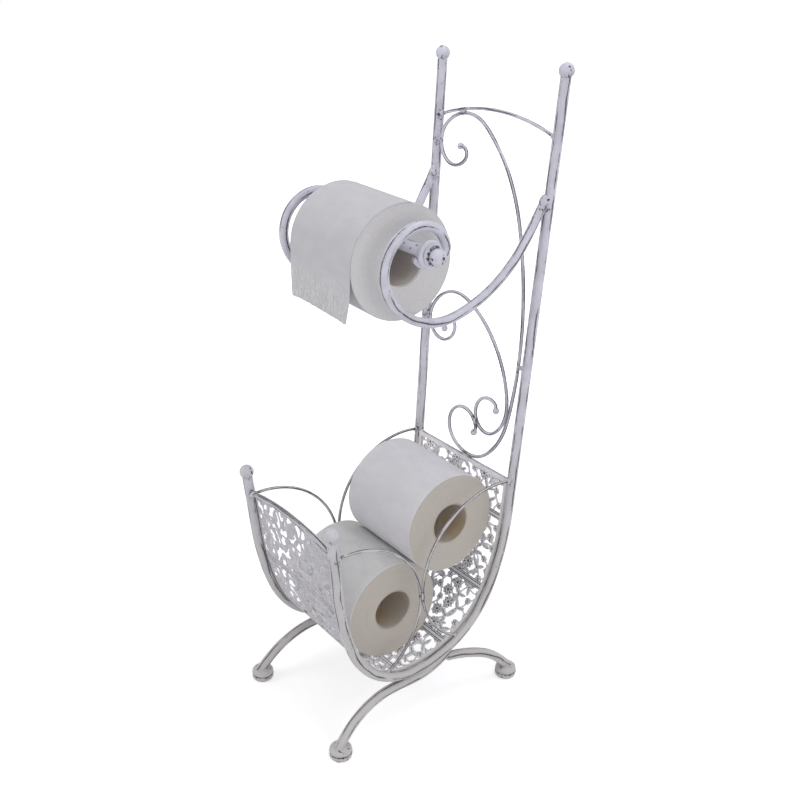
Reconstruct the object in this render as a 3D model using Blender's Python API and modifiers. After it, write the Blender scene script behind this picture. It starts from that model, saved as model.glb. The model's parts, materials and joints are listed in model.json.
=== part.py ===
"""Freestanding toilet paper holder.

Two bent side hoops stand on arched legs. A pierced sheet between the hoops cradles two spare rolls,
scrollwork fills the back, and a spindle with a roll rests in two looped arms.
Metres, +Z up, front towards -Y, origin on the floor under the middle of the object.
"""
import math

import bmesh
import bpy
import numpy as np
from mathutils import Vector

GAP = 0.0003                    # clearance between pieces that touch
CUT_OVERRUN = 0.008             # how far a rod runs on before it is cut to length

# side hoops, drawn from their lowest point towards the front post and towards the rear post
HOOP_RADIUS = 0.00475
HOOP_LOW_Y = -0.0166
HOOP_LOW_Z = 0.0605
HOOP_HALF_SPAN = 0.0742
HOOP_LEAN_DEG = 1.36
HOOP_BEND = 0.0781
FRONT_BEND_SHARES = ((1.0, 52.2), (1.44, 17.7), (3.64, 14.2))
REAR_BEND_SHARES = ((1.383, 67.9), (3.585, 17.9))
FRONT_POST_TOP = 0.2554
REAR_POST_TOP = 0.652
FINIAL_RADIUS = 0.0071

# legs: each side has a front rod, which runs on under the hoop, and a rear rod welded under its end
LEG_RADIUS = 0.0051
LEG_ARCH = 0.089
LEG_REST_DEG = 23.0
REAR_ROD_NOSE = 0.020
REAR_ROD_NOSE_DEG = 26.0
LEG_LAP = 0.010                 # how far at most the rear rod's crest lies behind the front rod's end
FOOT_HALF_SPAN = 0.0785
FOOT_HALF_DEPTH = 0.112
FOOT_RADIUS = 0.01185
FOOT_HEIGHT = 0.013
FOOT_BEVEL = 0.002
FOOT_GROOVE = 0.001

# rails and the pierced sheet
RAIL_RADIUS = 0.002
REAR_RAIL_Z = 0.247
FRONT_RAIL_Z = 0.2365
FRONT_RAIL_RISE = 0.0085
SHEET_THICKNESS = 0.001
SHEET_BORDER = 0.008
SHEET_WEB = 0.0045
SHEET_ROW_PITCH = 0.024
SHEET_COLUMNS = 6
RIB_WIDTH = 0.006
RIB_PLACE_SHARES = (0.157, 0.294, 0.434, 0.574, 0.728, 0.904)

# guard wires, which close the sides of the cradle and touch each other
GUARD_RADIUS = 0.0015
GUARD_ARC = 0.0925
GUARD_MEET_Y = -0.0088
GUARD_MEET_Z = 0.152
GUARD_LOWER_SHARE = 0.91
GUARD_STAGGER = 0.0068          # how far below and above the meeting point each wire stands upright
GUARD_FRONT_EASE_DEG = 25.2
GUARD_REAR_EASE_DEG = 10.4
GUARD_TURN_DEG = 90.0
GUARD_REAR_TURN_DEG = 120.0

# scrollwork and top arch
SCROLL_RADIUS = 0.0019
SCROLL_BEAD_RADIUS = 0.0033
SCROLL_BEAD_END_DEG = 165.0     # where the bead's round end is cut flat
ARCH_RADIUS = 0.00175
ARCH_DROP = 0.0525              # from the rear posts' tops down to the arch's ends
ARCH_RISE = 0.013
LARGE_SCROLL_HEADING_DEG = 0.3
LARGE_SCROLL_SHARES = ((0.042, -128.8), (0.132, -109.3), (0.144, -79.4), (0.276, -78.6), (1.0, -35.3),
                       (2.336, -30.5), (0.479, -37.7), (0.249, -83.2), (0.132, -207.3), (0.030, -53.2))
SMALL_SCROLL_HEADING_DEG = 102.0
SMALL_SCROLL_SHARES = ((0.071, -96.6), (0.070, -111.8), (0.174, -187.6), (0.359, -88.1), (1.0, -49.6),
                       (0.623, -14.9), (0.309, -58.5), (0.155, -240.1), (0.044, -58.4))

# roll arms: a hook under the spindle opens into a loop that runs back to the rear post
ARM_RADIUS = 0.0046
ARM_INSET = 0.002
ARM_LOOP = 0.0386
ARM_HOOK_DEG = 55.0
ARM_FLOOR_HEADING_DEG = -5.9
ARM_FLOOR_SHARE = 0.308
ARM_BEND_SHARES = ((0.306, 113.0), (0.754, 69.1), (1.0, 120.5), (1.785, 77.0), (3.513, 45.3))

# spindle
SPINDLE_Y = -0.018
SPINDLE_DROP = 0.1374           # from the rear posts' tops down to the spindle's axis
SPINDLE_RADIUS = 0.0048
DISC_RADIUS = 0.013
DISC_THICKNESS = 0.005
DISC_EDGE = 0.001
KNOB_RADIUS = 0.0077
KNOB_NECK_RADIUS = 0.0052
KNOB_COLLAR_RADIUS = 0.010
KNOB_COLLAR_LENGTH = 0.0025
KNOB_SOCKET = 0.007
KNOB_DIMPLE_RADIUS = 0.0022
KNOB_DIMPLE_DEPTH = 0.0007

# rolls
ROLL_RADIUS = 0.0545
ROLL_LENGTH = 0.108
ROLL_EDGE = 0.0012
CORE_INNER_RADIUS = 0.0215
CORE_WALL = 0.0009
MAIN_ROLL_X = 0.0
MAIN_ROLL_YAW_DEG = -3.0
LOWER_ROLL_ROOM = 0.0071        # from the left guard wires to the lower spare roll's end
LOWER_ROLL_SEAT_DEG = 8.0
UPPER_ROLL_X = 0.001
TAIL_THICKNESS = 0.0005
TAIL_START_DEG = 80.0
TAIL_DROP = 0.0465
TAIL_FLARE = 0.0012
TAIL_ROW_SHARES = (0.5, 1.0)    # where down its fall the tail has a row of points

# mesh fineness
CHORD_SAG = 0.0002             # how far a chord may stray from its arc
LARGEST_STEP_DEG = 16.0
HOOP_SIDES = 10
RAIL_SIDES = 8
WIRE_SIDES = 6
TURNED_STEPS = 20
ROLL_STEPS = 36
BALL_STEPS = 14
BEAD_STEPS = 6
CELL_STEPS = 2
SHARP_EDGE_DEG = 40.0
HALVINGS = 40
MERGE = 0.00001

PAINT = ((0.62, 0.61, 0.66), 0.45, 0.35)
TISSUE = ((0.80, 0.79, 0.80), 0.95, 0.0)
CARD = ((0.30, 0.24, 0.18), 0.9, 0.0)


for item in list(bpy.data.objects):
    bpy.data.objects.remove(item, do_unlink=True)
holder = bpy.data.collections.new("toilet_paper_holder")
bpy.context.scene.collection.children.link(holder)


# objects and materials

def material(name, look):
    colour, roughness, metallic = look
    made = bpy.data.materials.new(name)
    made.use_nodes = True
    shader = made.node_tree.nodes["Principled BSDF"]
    shader.inputs["Base Color"].default_value = (*colour, 1.0)
    shader.inputs["Roughness"].default_value = roughness
    shader.inputs["Metallic"].default_value = metallic
    return made


def axis_empty(name, location, parent=None):
    empty = bpy.data.objects.new(name, None)
    empty.location = location
    empty.parent = parent
    holder.objects.link(empty)
    return empty


def place(item, look, parent, location=(0, 0, 0)):
    """Puts an object in the collection, on the piece or axis that carries it, with its own material."""
    holder.objects.link(item)
    item.data.materials.append(material(item.name, look))
    item.parent = parent
    item.location = Vector(location) - origin_of(parent)
    return item


def origin_of(item):
    """Where an object's origin is, in the stand's frame."""
    return origin_of(item.parent) + item.location if item.parent else Vector()


def shade(shape):
    """Shades a mesh smooth but for its real edges."""
    shape.shade_smooth()
    shape.set_sharp_from_angle(angle=math.radians(SHARP_EDGE_DEG))


def evaluated_mesh(item):
    bpy.context.view_layer.update()
    return bpy.data.meshes.new_from_object(item.evaluated_get(bpy.context.evaluated_depsgraph_get()))


def apply_modifiers(item):
    shape = evaluated_mesh(item)
    item.modifiers.clear()
    item.data = shape
    shade(shape)
    return item


def tube(name, points, radii, sides, look, parent):
    """A round wire, rod or tube along points, with closed ends; radii holds one radius a point."""
    line = bpy.data.curves.new(name, "CURVE")
    line.dimensions = "3D"
    line.bevel_depth = max(radii)
    line.bevel_resolution = (sides - 4) // 2
    line.use_fill_caps = True
    spline = line.splines.new("POLY")
    spline.points.add(len(points) - 1)
    for point, place_at, radius in zip(spline.points, points, radii):
        point.co = (*place_at, 1.0)
        point.radius = radius / line.bevel_depth
    return place(bpy.data.objects.new(name, line), look, parent)


def even(points, radius):
    return [radius] * len(points)


def cut_off(item, plane_point, plane_normal):
    """Turns a tube into a mesh and takes off what lies on the normal's side of a plane."""
    shape = evaluated_mesh(item)
    work = bmesh.new()
    work.from_mesh(shape)
    bmesh.ops.remove_doubles(work, verts=work.verts, dist=MERGE)
    everything = work.verts[:] + work.edges[:] + work.faces[:]
    bmesh.ops.bisect_plane(work, geom=everything, plane_co=plane_point, plane_no=plane_normal,
                           clear_outer=True)
    bmesh.ops.holes_fill(work, edges=[edge for edge in work.edges if edge.is_boundary], sides=0)
    bmesh.ops.recalc_face_normals(work, faces=work.faces)
    work.to_mesh(shape)
    work.free()
    shade(shape)
    name = item.name
    made = bpy.data.objects.new(name + "_cut", shape)
    holder.objects.link(made)
    made.parent = item.parent
    made.location = item.location
    bpy.data.objects.remove(item, do_unlink=True)
    made.name = name


def turned(name, profile, axis, steps, look, parent, location, ring=False):
    """Turns a profile of (radius, height) about an axis; it runs down the outer side, top to bottom."""
    shape = bpy.data.meshes.new(name)
    edges = [(index, index + 1) for index in range(len(profile) - 1)]
    if ring:
        edges.append((len(profile) - 1, 0))
    shape.from_pydata([(radius, 0, height) for radius, height in profile], edges, [])
    item = place(bpy.data.objects.new(name, shape), look, parent, location)
    item.rotation_mode = "QUATERNION"
    item.rotation_quaternion = Vector(axis).to_track_quat("Z", "Y")
    screw = item.modifiers.new("turn", "SCREW")
    screw.steps = steps
    screw.render_steps = steps
    screw.use_merge_vertices = True
    screw.merge_threshold = MERGE
    return apply_modifiers(item)


def ball(radius, first, last, steps):
    """A ball's profile between two angles from its top."""
    return [(radius * math.sin(angle), radius * math.cos(angle)) for angle in np.linspace(first, last, steps)]


def rim(outer, edge, inner, half):
    """The profile of a thick ring whose outer edges are chamfered."""
    return ((outer - edge, half), (outer, half - edge), (outer, edge - half), (outer - edge, -half),
            (inner, -half), (inner, half))


def plate(name, rows, open_cells, thickness, look, parent):
    """A bent sheet: rows of points make the middle surface, without the open cells, made solid."""
    work = bmesh.new()
    grid = [[work.verts.new(point) for point in row] for row in rows]
    for row in range(len(grid) - 1):
        for column in range(len(grid[row]) - 1):
            if (row, column) in open_cells:
                continue
            work.faces.new((grid[row][column], grid[row][column + 1],
                            grid[row + 1][column + 1], grid[row + 1][column]))
    bmesh.ops.delete(work, geom=[vert for vert in work.verts if not vert.link_faces], context="VERTS")
    shape = bpy.data.meshes.new(name)
    work.to_mesh(shape)
    work.free()
    item = place(bpy.data.objects.new(name, shape), look, parent)
    solid = item.modifiers.new("thickness", "SOLIDIFY")
    solid.thickness = thickness
    solid.offset = 0.0
    solid.use_even_offset = True
    return apply_modifiers(item)


# centre lines in a plane; a heading is counted from +Y, or from +X in the posts' plane, towards +Z

UPRIGHT_DEG = 90.0
BACKWARDS_DEG = 180.0

def direction(angle):
    return np.array((math.cos(angle), math.sin(angle)))


def arc_count(radius, turn_deg):
    step = min(2 * math.degrees(math.acos(max(0.0, 1 - CHORD_SAG / radius))), LARGEST_STEP_DEG)
    return max(1, math.ceil(abs(turn_deg) / step))


def bent(start, heading_deg, bends):
    """Points of a bent wire. A bend is (radius, turn in degrees), a straight run is (None, length)."""
    points = [np.array(start, float)]
    angle = math.radians(heading_deg)
    for radius, turn in bends:
        if radius is None:
            points.append(points[-1] + turn * direction(angle))
            continue
        reach = math.copysign(radius, turn)
        centre = points[-1] + reach * direction(angle + math.pi / 2)
        count = arc_count(radius, turn)
        for index in range(1, count + 1):
            at = angle + math.radians(turn) * index / count
            points.append(centre - reach * direction(at + math.pi / 2))
        angle += math.radians(turn)
    return np.array(points)


def scaled(size, shares, sign=1):
    return [(share * size, sign * turn) for share, turn in shares]


def turn_of(shares):
    return sum(turn for _, turn in shares)


def raised_to(points, slope, height):
    """Runs a centre line straight on to a height; slope is its sideways run for each unit of rise."""
    last = points[-1]
    return np.vstack((points, (last[0] + slope * (height - last[1]), height)))


def to_runs(point, line):
    """How far along each run of a centre line a point lies, and how far from it."""
    runs = line[1:] - line[:-1]
    share = np.clip(((point - line[:-1]) * runs).sum(1) / (runs ** 2).sum(1), 0, 1)
    return share, np.linalg.norm(point - line[:-1] - share[:, None] * runs, axis=1)


def nearest(point, line):
    """Distance from a point to a centre line, and the line's direction there."""
    away = to_runs(point, line)[1]
    index = away.argmin()
    run = line[index + 1] - line[index]
    return away[index], run / np.linalg.norm(run)


def point_clearance(points, radii, line, line_radii):
    """Least space between the points of one wire and the runs of another."""
    line_radii = np.array(line_radii)
    least = math.inf
    for point, radius in zip(points, radii):
        share, away = to_runs(point, line)
        width = line_radii[:-1] + share * (line_radii[1:] - line_radii[:-1])
        least = min(least, (away - width - radius).min())
    return least


def clearance(first, first_radii, second, second_radii):
    """Least space between two wires."""
    return min(point_clearance(first, first_radii, second, second_radii),
               point_clearance(second, second_radii, first, first_radii))


def largest(fits, low, high):
    """The largest value between low and high that fits, by halving."""
    for _ in range(HALVINGS):
        middle = (low + high) / 2
        if fits(middle):
            low = middle
        else:
            high = middle
    return low


# the side hoop's centre line, from the front post's top to the rear post's top

HOOP_LEAN = math.tan(math.radians(HOOP_LEAN_DEG))
front_slope = -1 / math.tan(math.radians(turn_of(FRONT_BEND_SHARES)))
rear_slope = 1 / math.tan(math.radians(turn_of(REAR_BEND_SHARES)))
low_point = (HOOP_LOW_Y, HOOP_LOW_Z)
front_half = bent(low_point, BACKWARDS_DEG, scaled(HOOP_BEND, FRONT_BEND_SHARES, -1))
rear_half = bent(low_point, 0.0, scaled(HOOP_BEND, REAR_BEND_SHARES))
front_half = raised_to(front_half, front_slope, FRONT_POST_TOP)
rear_half = raised_to(rear_half, rear_slope, REAR_POST_TOP)
hoop_line = np.vstack((front_half[::-1], rear_half[1:]))


spindle_z = REAR_POST_TOP - SPINDLE_DROP
arch_end_z = REAR_POST_TOP - ARCH_DROP


def hoop_half(z):
    """Half the distance between the hoops' centre lines at a height."""
    return HOOP_HALF_SPAN + HOOP_LEAN * (z - HOOP_LOW_Z)


def front_post_y(z):
    return front_half[-1][0] + front_slope * (z - FRONT_POST_TOP)


def rear_post_y(z):
    return rear_half[-1][0] + rear_slope * (z - REAR_POST_TOP)


def on_side(points, side, inset=0.0):
    """Lays a (y, z) centre line on a hoop's leaning plane; side is 1 on the right, -1 on the left."""
    return [(side * (hoop_half(z) - inset), y, z) for y, z in points]


def on_back(points):
    """Lays an (x, z) centre line on the plane of the two rear posts."""
    return [(x, rear_post_y(z), z) for x, z in points]


def on_front(points):
    return [(x, front_post_y(z), z) for x, z in points]


# the origin is under the middle of the object's depth
seat_drop = math.sqrt(FINIAL_RADIUS ** 2 - HOOP_RADIUS ** 2)
finial_step = seat_drop + GAP
rear_post_angle = math.atan2(1, rear_slope)
front_post_angle = math.atan2(1, front_slope)
rear_finial_y = rear_half[-1][0] + finial_step * math.cos(rear_post_angle)
front_finial_y = front_half[-1][0] + finial_step * math.cos(front_post_angle)
rearmost = max(rear_finial_y + FINIAL_RADIUS, FOOT_HALF_DEPTH + FOOT_RADIUS)
foremost = min(front_finial_y - FINIAL_RADIUS, -FOOT_HALF_DEPTH - FOOT_RADIUS)
stand = axis_empty("stand", (0, -(rearmost + foremost) / 2, 0))
frame = axis_empty("frame_axis", (0, 0, 0), stand)
SIDES = (("right", 1), ("left", -1))


# hoops and finials

def finial(name, top, below):
    """A ball with a flat seat, in line with the post under it."""
    along = (Vector(top) - Vector(below)).normalized()
    seat = math.pi - math.asin(HOOP_RADIUS / FINIAL_RADIUS)
    profile = [*ball(FINIAL_RADIUS, 0, seat, BALL_STEPS // 2), (0, -seat_drop)]
    turned(name, profile, along, BALL_STEPS, PAINT, frame, Vector(top) + along * finial_step)


def hoop(label, side):
    points = on_side(hoop_line, side)
    tube("side_hoop_" + label, points, even(points, HOOP_RADIUS), HOOP_SIDES, PAINT, frame)
    finial("front_finial_" + label, points[0], points[1])
    finial("rear_finial_" + label, points[-1], points[-2])


# legs and feet

rod_spacing = 2 * LEG_RADIUS + GAP
crest_z = HOOP_LOW_Z - HOOP_RADIUS - LEG_RADIUS - GAP
rest_radius = REAR_BEND_SHARES[0][0] * HOOP_BEND + HOOP_RADIUS + LEG_RADIUS + GAP


def arch_down(height, side):
    """A leg's arch from its crest to its foot and a little past the cut; side is 1 at the rear."""
    turn = math.acos(1 - (height - FOOT_HEIGHT) / LEG_ARCH)
    crest_y = side * (FOOT_HALF_DEPTH - LEG_ARCH * math.sin(turn))
    heading = 0.0 if side > 0 else BACKWARDS_DEG
    return bent((crest_y, height), heading, [(LEG_ARCH, -side * math.degrees(turn)), (None, CUT_OVERRUN)])


front_arch = arch_down(crest_z, -1)
front_rest = bent((HOOP_LOW_Y, crest_z), 0.0, [(rest_radius, LEG_REST_DEG)])
front_rod = np.vstack((front_arch[::-1], front_rest))


def rear_rod_at(height):
    arch = arch_down(height, 1)
    nose_y = min(arch[0][0], front_rod[-1][0] + LEG_LAP)
    nose = bent((nose_y, height), BACKWARDS_DEG, [(REAR_ROD_NOSE, REAR_ROD_NOSE_DEG)])
    return np.vstack((nose[::-1], arch if nose_y < arch[0][0] else arch[1:]))


def rear_rod_fits(height):
    rod = rear_rod_at(height)
    return clearance(rod, even(rod, LEG_RADIUS), front_rod, even(front_rod, LEG_RADIUS)) >= GAP


rear_rod = rear_rod_at(largest(rear_rod_fits, crest_z - rod_spacing, crest_z + rod_spacing))


def leg_half(z):
    """Half the distance between the legs: in the hoops' plane above the crest, spread below it."""
    if z >= crest_z:
        return hoop_half(z)
    spread = FOOT_HALF_SPAN - hoop_half(crest_z)
    return hoop_half(crest_z) + spread * (crest_z - z) / (crest_z - FOOT_HEIGHT)


def leg(name, rod, side):
    points = [(side * leg_half(z), y, z) for y, z in rod]
    made = tube(name, points, even(points, LEG_RADIUS), HOOP_SIDES, PAINT, frame)
    cut_off(made, (0, 0, FOOT_HEIGHT + GAP), (0, 0, -1))


def foot(name, x, y):
    """A round puck with a groove round its middle."""
    middle = FOOT_HEIGHT / 2
    profile = ((0, FOOT_HEIGHT), (FOOT_RADIUS - FOOT_BEVEL, FOOT_HEIGHT),
               (FOOT_RADIUS, FOOT_HEIGHT - FOOT_BEVEL), (FOOT_RADIUS, middle + FOOT_GROOVE),
               (FOOT_RADIUS - FOOT_GROOVE, middle), (FOOT_RADIUS, middle - FOOT_GROOVE),
               (FOOT_RADIUS, FOOT_BEVEL), (FOOT_RADIUS - FOOT_BEVEL, 0), (0, 0))
    turned(name, profile, (0, 0, 1), TURNED_STEPS, PAINT, frame, (x, y, 0))


def legs(label, side):
    leg("front_leg_" + label, front_rod, side)
    leg("rear_leg_" + label, rear_rod, side)
    foot("front_foot_" + label, side * FOOT_HALF_SPAN, -FOOT_HALF_DEPTH)
    foot("rear_foot_" + label, side * FOOT_HALF_SPAN, FOOT_HALF_DEPTH)


# cross wires between the hoops

def bow(end_z, rise, radius):
    """A wire from hoop to hoop, straight or bowed upwards, as an (x, z) centre line."""
    half = hoop_half(end_z) - HOOP_RADIUS - GAP
    if rise == 0:
        return np.array(((-half, end_z), (half, end_z)))
    half -= radius * 2 * rise / half        # a bowed wire's square end reaches on at its lower edge
    bow_radius = (half ** 2 + rise ** 2) / (2 * rise)
    half_turn = math.asin(half / bow_radius)
    count = 2 * arc_count(bow_radius, math.degrees(half_turn))
    angles = np.linspace(-half_turn, half_turn, count + 1)
    return np.array([(bow_radius * math.sin(angle), end_z + rise - bow_radius * (1 - math.cos(angle)))
                     for angle in angles])


front_rail = bow(FRONT_RAIL_Z, FRONT_RAIL_RISE, RAIL_RADIUS)
arch = bow(arch_end_z, ARCH_RISE, ARCH_RADIUS)


def cross_wires():
    rear_rail = bow(REAR_RAIL_Z, 0, RAIL_RADIUS)
    tube("front_rail", on_front(front_rail), even(front_rail, RAIL_RADIUS), RAIL_SIDES, PAINT, frame)
    tube("rear_rail", on_back(rear_rail), even(rear_rail, RAIL_RADIUS), RAIL_SIDES, PAINT, frame)
    tube("top_arch", on_back(arch), even(arch, ARCH_RADIUS), WIRE_SIDES, PAINT, frame)


# the pierced sheet lies against the inner side of both rails and follows the hoops

sheet_offset = RAIL_RADIUS + GAP + SHEET_THICKNESS / 2
hoop_steps = np.linalg.norm(np.diff(hoop_line, axis=0), axis=1)
hoop_travel = np.concatenate(((0.0,), np.cumsum(hoop_steps)))
hoop_along = np.gradient(hoop_line, axis=0)
hoop_along /= np.linalg.norm(hoop_along, axis=1)[:, None]
hoop_inward = np.stack((-hoop_along[:, 1], hoop_along[:, 0]), axis=1)


def beside_hoop(travel, offset):
    """The (y, z) point at a distance along the hoop's centre line and a distance inwards from it."""
    at = [np.interp(travel, hoop_travel, hoop_line[:, axis]) for axis in (0, 1)]
    inward = np.array([np.interp(travel, hoop_travel, hoop_inward[:, axis]) for axis in (0, 1)])
    return np.array(at) + offset * inward / np.linalg.norm(inward)


def front_travel(z):
    return (FRONT_POST_TOP - z) / math.sin(front_post_angle)


def rear_travel(z):
    return hoop_travel[-1] - (REAR_POST_TOP - z) / math.sin(rear_post_angle)


def openings_between(start, end, count, web, parts):
    """Lines from start to end for a row of equal openings, and which of the cells are open."""
    width = (end - start - (count - 1) * web) / count
    lines = [start]
    opened = []
    for index in range(count):
        first = start + index * (width + web)
        if index:
            lines.append(first)
            opened.append(False)
        lines += [first + width * part / parts for part in range(1, parts + 1)]
        opened += [True] * parts
    return lines, opened


def sheet_lines(start, end):
    """Lines across the sheet at its borders, ribs and rows of openings."""
    edges = [start + share * (end - start) for share in (0, *RIB_PLACE_SHARES, 1)]
    lines = [start]
    opened = []
    for index, (low, high) in enumerate(zip(edges, edges[1:])):
        low += SHEET_BORDER if index == 0 else RIB_WIDTH / 2
        high -= SHEET_BORDER if index == len(edges) - 2 else RIB_WIDTH / 2
        count = max(1, round((high - low) / SHEET_ROW_PITCH))
        panel_lines, panel_opened = openings_between(low, high, count, SHEET_WEB, CELL_STEPS)
        lines += panel_lines
        opened += [False] + panel_opened
    return lines + [end], opened + [False]


def cradle_sheet():
    edge_z = FRONT_RAIL_Z + RAIL_RADIUS
    lines, open_rows = sheet_lines(front_travel(edge_z), rear_travel(REAR_RAIL_Z + RAIL_RADIUS))
    hoop_reach = math.sqrt(HOOP_RADIUS ** 2 - (sheet_offset - SHEET_THICKNESS / 2) ** 2) + GAP
    rows = []
    for index, travel in enumerate(lines):
        y, z = beside_hoop(travel, sheet_offset)
        half = hoop_half(z) - hoop_reach
        columns, open_columns = openings_between(SHEET_BORDER - half, half - SHEET_BORDER,
                                                 SHEET_COLUMNS, SHEET_WEB, 1)
        columns = [-half] + columns + [half]
        if index:
            rows.append([(x, y, z) for x in columns])
            continue
        tops = [np.interp(x, front_rail[:, 0], front_rail[:, 1]) + RAIL_RADIUS for x in columns]
        edge = [beside_hoop(front_travel(top), sheet_offset) for top in tops]
        rows.append([(x, *point) for x, point in zip(columns, edge)])
    open_columns = [False] + open_columns + [False]
    open_cells = {(row, column) for row, row_open in enumerate(open_rows) if row_open
                  for column, column_open in enumerate(open_columns) if column_open}
    plate("cradle_sheet", rows, open_cells, SHEET_THICKNESS, PAINT, frame)


# guard wires: each bows away from where it touches the other, up to a post and down to the hoop

def stopped_at_hoop(points, radius):
    """Ends a centre line where its square end clears the hoop's tube."""
    for index in range(1, len(points)):
        start, run = points[index - 1], points[index] - points[index - 1]
        along = run / np.linalg.norm(run)

        def clears(share):
            away, tangent = nearest(start + share * run, hoop_line)
            return away >= HOOP_RADIUS + GAP + radius * abs(along @ tangent)

        if not clears(1.0):
            return np.vstack((points[:index], start + largest(clears, 0.0, 1.0) * run))
    return points


def guard(name, way, side):
    """way is -1 for the front wire and 1 for the rear wire."""
    sag = GUARD_STAGGER ** 2 / (2 * GUARD_ARC)
    start = (GUARD_MEET_Y + way * (GUARD_RADIUS + GAP / 2 - sag), GUARD_MEET_Z + way * GUARD_STAGGER)
    lower = GUARD_LOWER_SHARE * GUARD_ARC
    if way < 0:
        upper_bends = [(lower, GUARD_FRONT_EASE_DEG), (GUARD_ARC, GUARD_TURN_DEG)]
        lower_bends = [(lower, -GUARD_TURN_DEG)]
    else:
        upper_bends = [(GUARD_ARC, -GUARD_REAR_TURN_DEG)]
        lower_bends = [(GUARD_ARC, GUARD_REAR_EASE_DEG), (lower, GUARD_TURN_DEG)]
    up = stopped_at_hoop(bent(start, UPRIGHT_DEG, upper_bends), GUARD_RADIUS)
    down = stopped_at_hoop(bent(start, -UPRIGHT_DEG, lower_bends), GUARD_RADIUS)
    points = on_side(np.vstack((down[::-1], up[1:])), side)
    tube(name, points, even(points, GUARD_RADIUS), WIRE_SIDES, PAINT, frame)


# scrollwork, in the plane of the rear posts

def with_beads(points):
    """Adds a ball to both ends of a scroll's wire; returns its points and radii."""
    neck = math.asin(SCROLL_RADIUS / SCROLL_BEAD_RADIUS)
    bead = ball(SCROLL_BEAD_RADIUS, neck, math.radians(SCROLL_BEAD_END_DEG), BEAD_STEPS + 1)
    radii = even(points, SCROLL_RADIUS)
    for _ in range(2):
        points = points[::-1]
        end = points[-1]
        along = (end - points[-2]) / np.linalg.norm(end - points[-2])
        points = np.vstack((points, [end + (bead[0][1] - height) * along for _, height in bead[1:]]))
        radii = radii[::-1] + [radius for radius, _ in bead[1:]]
    return points, radii


def scroll_at(size, heading_deg, shares, lowest):
    """A scroll with its lowest point at a height, against the left post."""
    points, radii = with_beads(bent((0, 0), heading_deg, scaled(size, shares)))
    points[:, 1] += lowest - points[:, 1].min()
    posts = np.array([hoop_half(z) for z in points[:, 1]])
    points[:, 0] += HOOP_RADIUS + SCROLL_RADIUS + GAP - (points[:, 0] + posts).min()
    return points, radii


def large_scroll_at(size):
    lowest = REAR_RAIL_Z + RAIL_RADIUS + GAP + SCROLL_RADIUS
    return scroll_at(size, LARGE_SCROLL_HEADING_DEG, LARGE_SCROLL_SHARES, lowest)


def large_scroll_fits(size):
    """True where the large scroll stays under the arch and clear of the right post."""
    points, radii = large_scroll_at(size)
    post_room = min(hoop_half(z) - x for x, z in points) - HOOP_RADIUS - SCROLL_BEAD_RADIUS
    if points[:, 1].max() >= arch[:, 1].max() or post_room < GAP:
        return False
    return clearance(points, radii, arch, even(arch, ARCH_RADIUS)) >= GAP


back_height = arch_end_z - REAR_RAIL_Z
highest_seat = back_height / 4
large_scroll, large_radii = large_scroll_at(largest(large_scroll_fits, 0, back_height))
scroll_top = large_scroll[:, 1].argmax()
scroll_bottom = large_scroll[:, 1].argmin()


def clears_large(points, radii, part):
    return clearance(points, radii, large_scroll[part], large_radii[part]) >= GAP


def small_scroll_at(size):
    """The small scroll, seated on the curl at the large scroll's foot."""
    def raised(lift):
        return scroll_at(size, SMALL_SCROLL_HEADING_DEG, SMALL_SCROLL_SHARES, REAR_RAIL_Z + lift)

    def sunk(lift):
        return not clears_large(*raised(lift), slice(scroll_bottom, None))

    return raised(largest(sunk, 0, highest_seat))


def small_scroll_fits(size):
    """True where the small scroll stays inside the large scroll's long side."""
    points, radii = small_scroll_at(size)
    side = slice(scroll_top, scroll_bottom + 1)
    return points[:, 0].max() < large_scroll[side, 0].max() and clears_large(points, radii, side)


small_scroll, small_radii = small_scroll_at(largest(small_scroll_fits, 0, back_height))


# roll arms

post_along = direction(rear_post_angle)
post_front = np.array((-post_along[1], post_along[0]))
hook_radius = SPINDLE_RADIUS + ARM_RADIUS + GAP
hook_heading = ARM_FLOOR_HEADING_DEG - ARM_HOOK_DEG
hook_start = np.array((SPINDLE_Y, spindle_z)) + hook_radius * direction(math.radians(hook_heading - 90))
arm_line = bent(hook_start, hook_heading, [(hook_radius, ARM_HOOK_DEG), (None, ARM_FLOOR_SHARE * ARM_LOOP),
                                           *scaled(ARM_LOOP, ARM_BEND_SHARES)])
arm_heading = direction(math.radians(ARM_FLOOR_HEADING_DEG + turn_of(ARM_BEND_SHARES)))
arm_shortfall = rear_post_y(arm_line[-1][1]) - arm_line[-1][0]
arm_run = arm_shortfall / (arm_heading[0] - rear_slope * arm_heading[1])
arm_line = np.vstack((arm_line, arm_line[-1] + arm_run * arm_heading))
arm_outer = max(hoop_half(z) for y, z in arm_line if y < 0) - ARM_INSET + ARM_RADIUS


def roll_arm(label, side):
    points = on_side(arm_line, side, ARM_INSET)
    made = tube("roll_arm_" + label, points, even(points, ARM_RADIUS), HOOP_SIDES, PAINT, frame)
    at = arm_line[-1] + (HOOP_RADIUS + GAP) * post_front
    cut_off(made, (0, *at), (0, *-post_front))


# spindle: a rod with a disc and a knob on each end

disc_x = arm_outer + GAP
collar_x = disc_x + DISC_THICKNESS + GAP
knob_drop = math.sqrt(KNOB_RADIUS ** 2 - KNOB_NECK_RADIUS ** 2)
knob_x = collar_x + KNOB_COLLAR_LENGTH + knob_drop
rod_half = collar_x + KNOB_SOCKET - GAP


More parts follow.
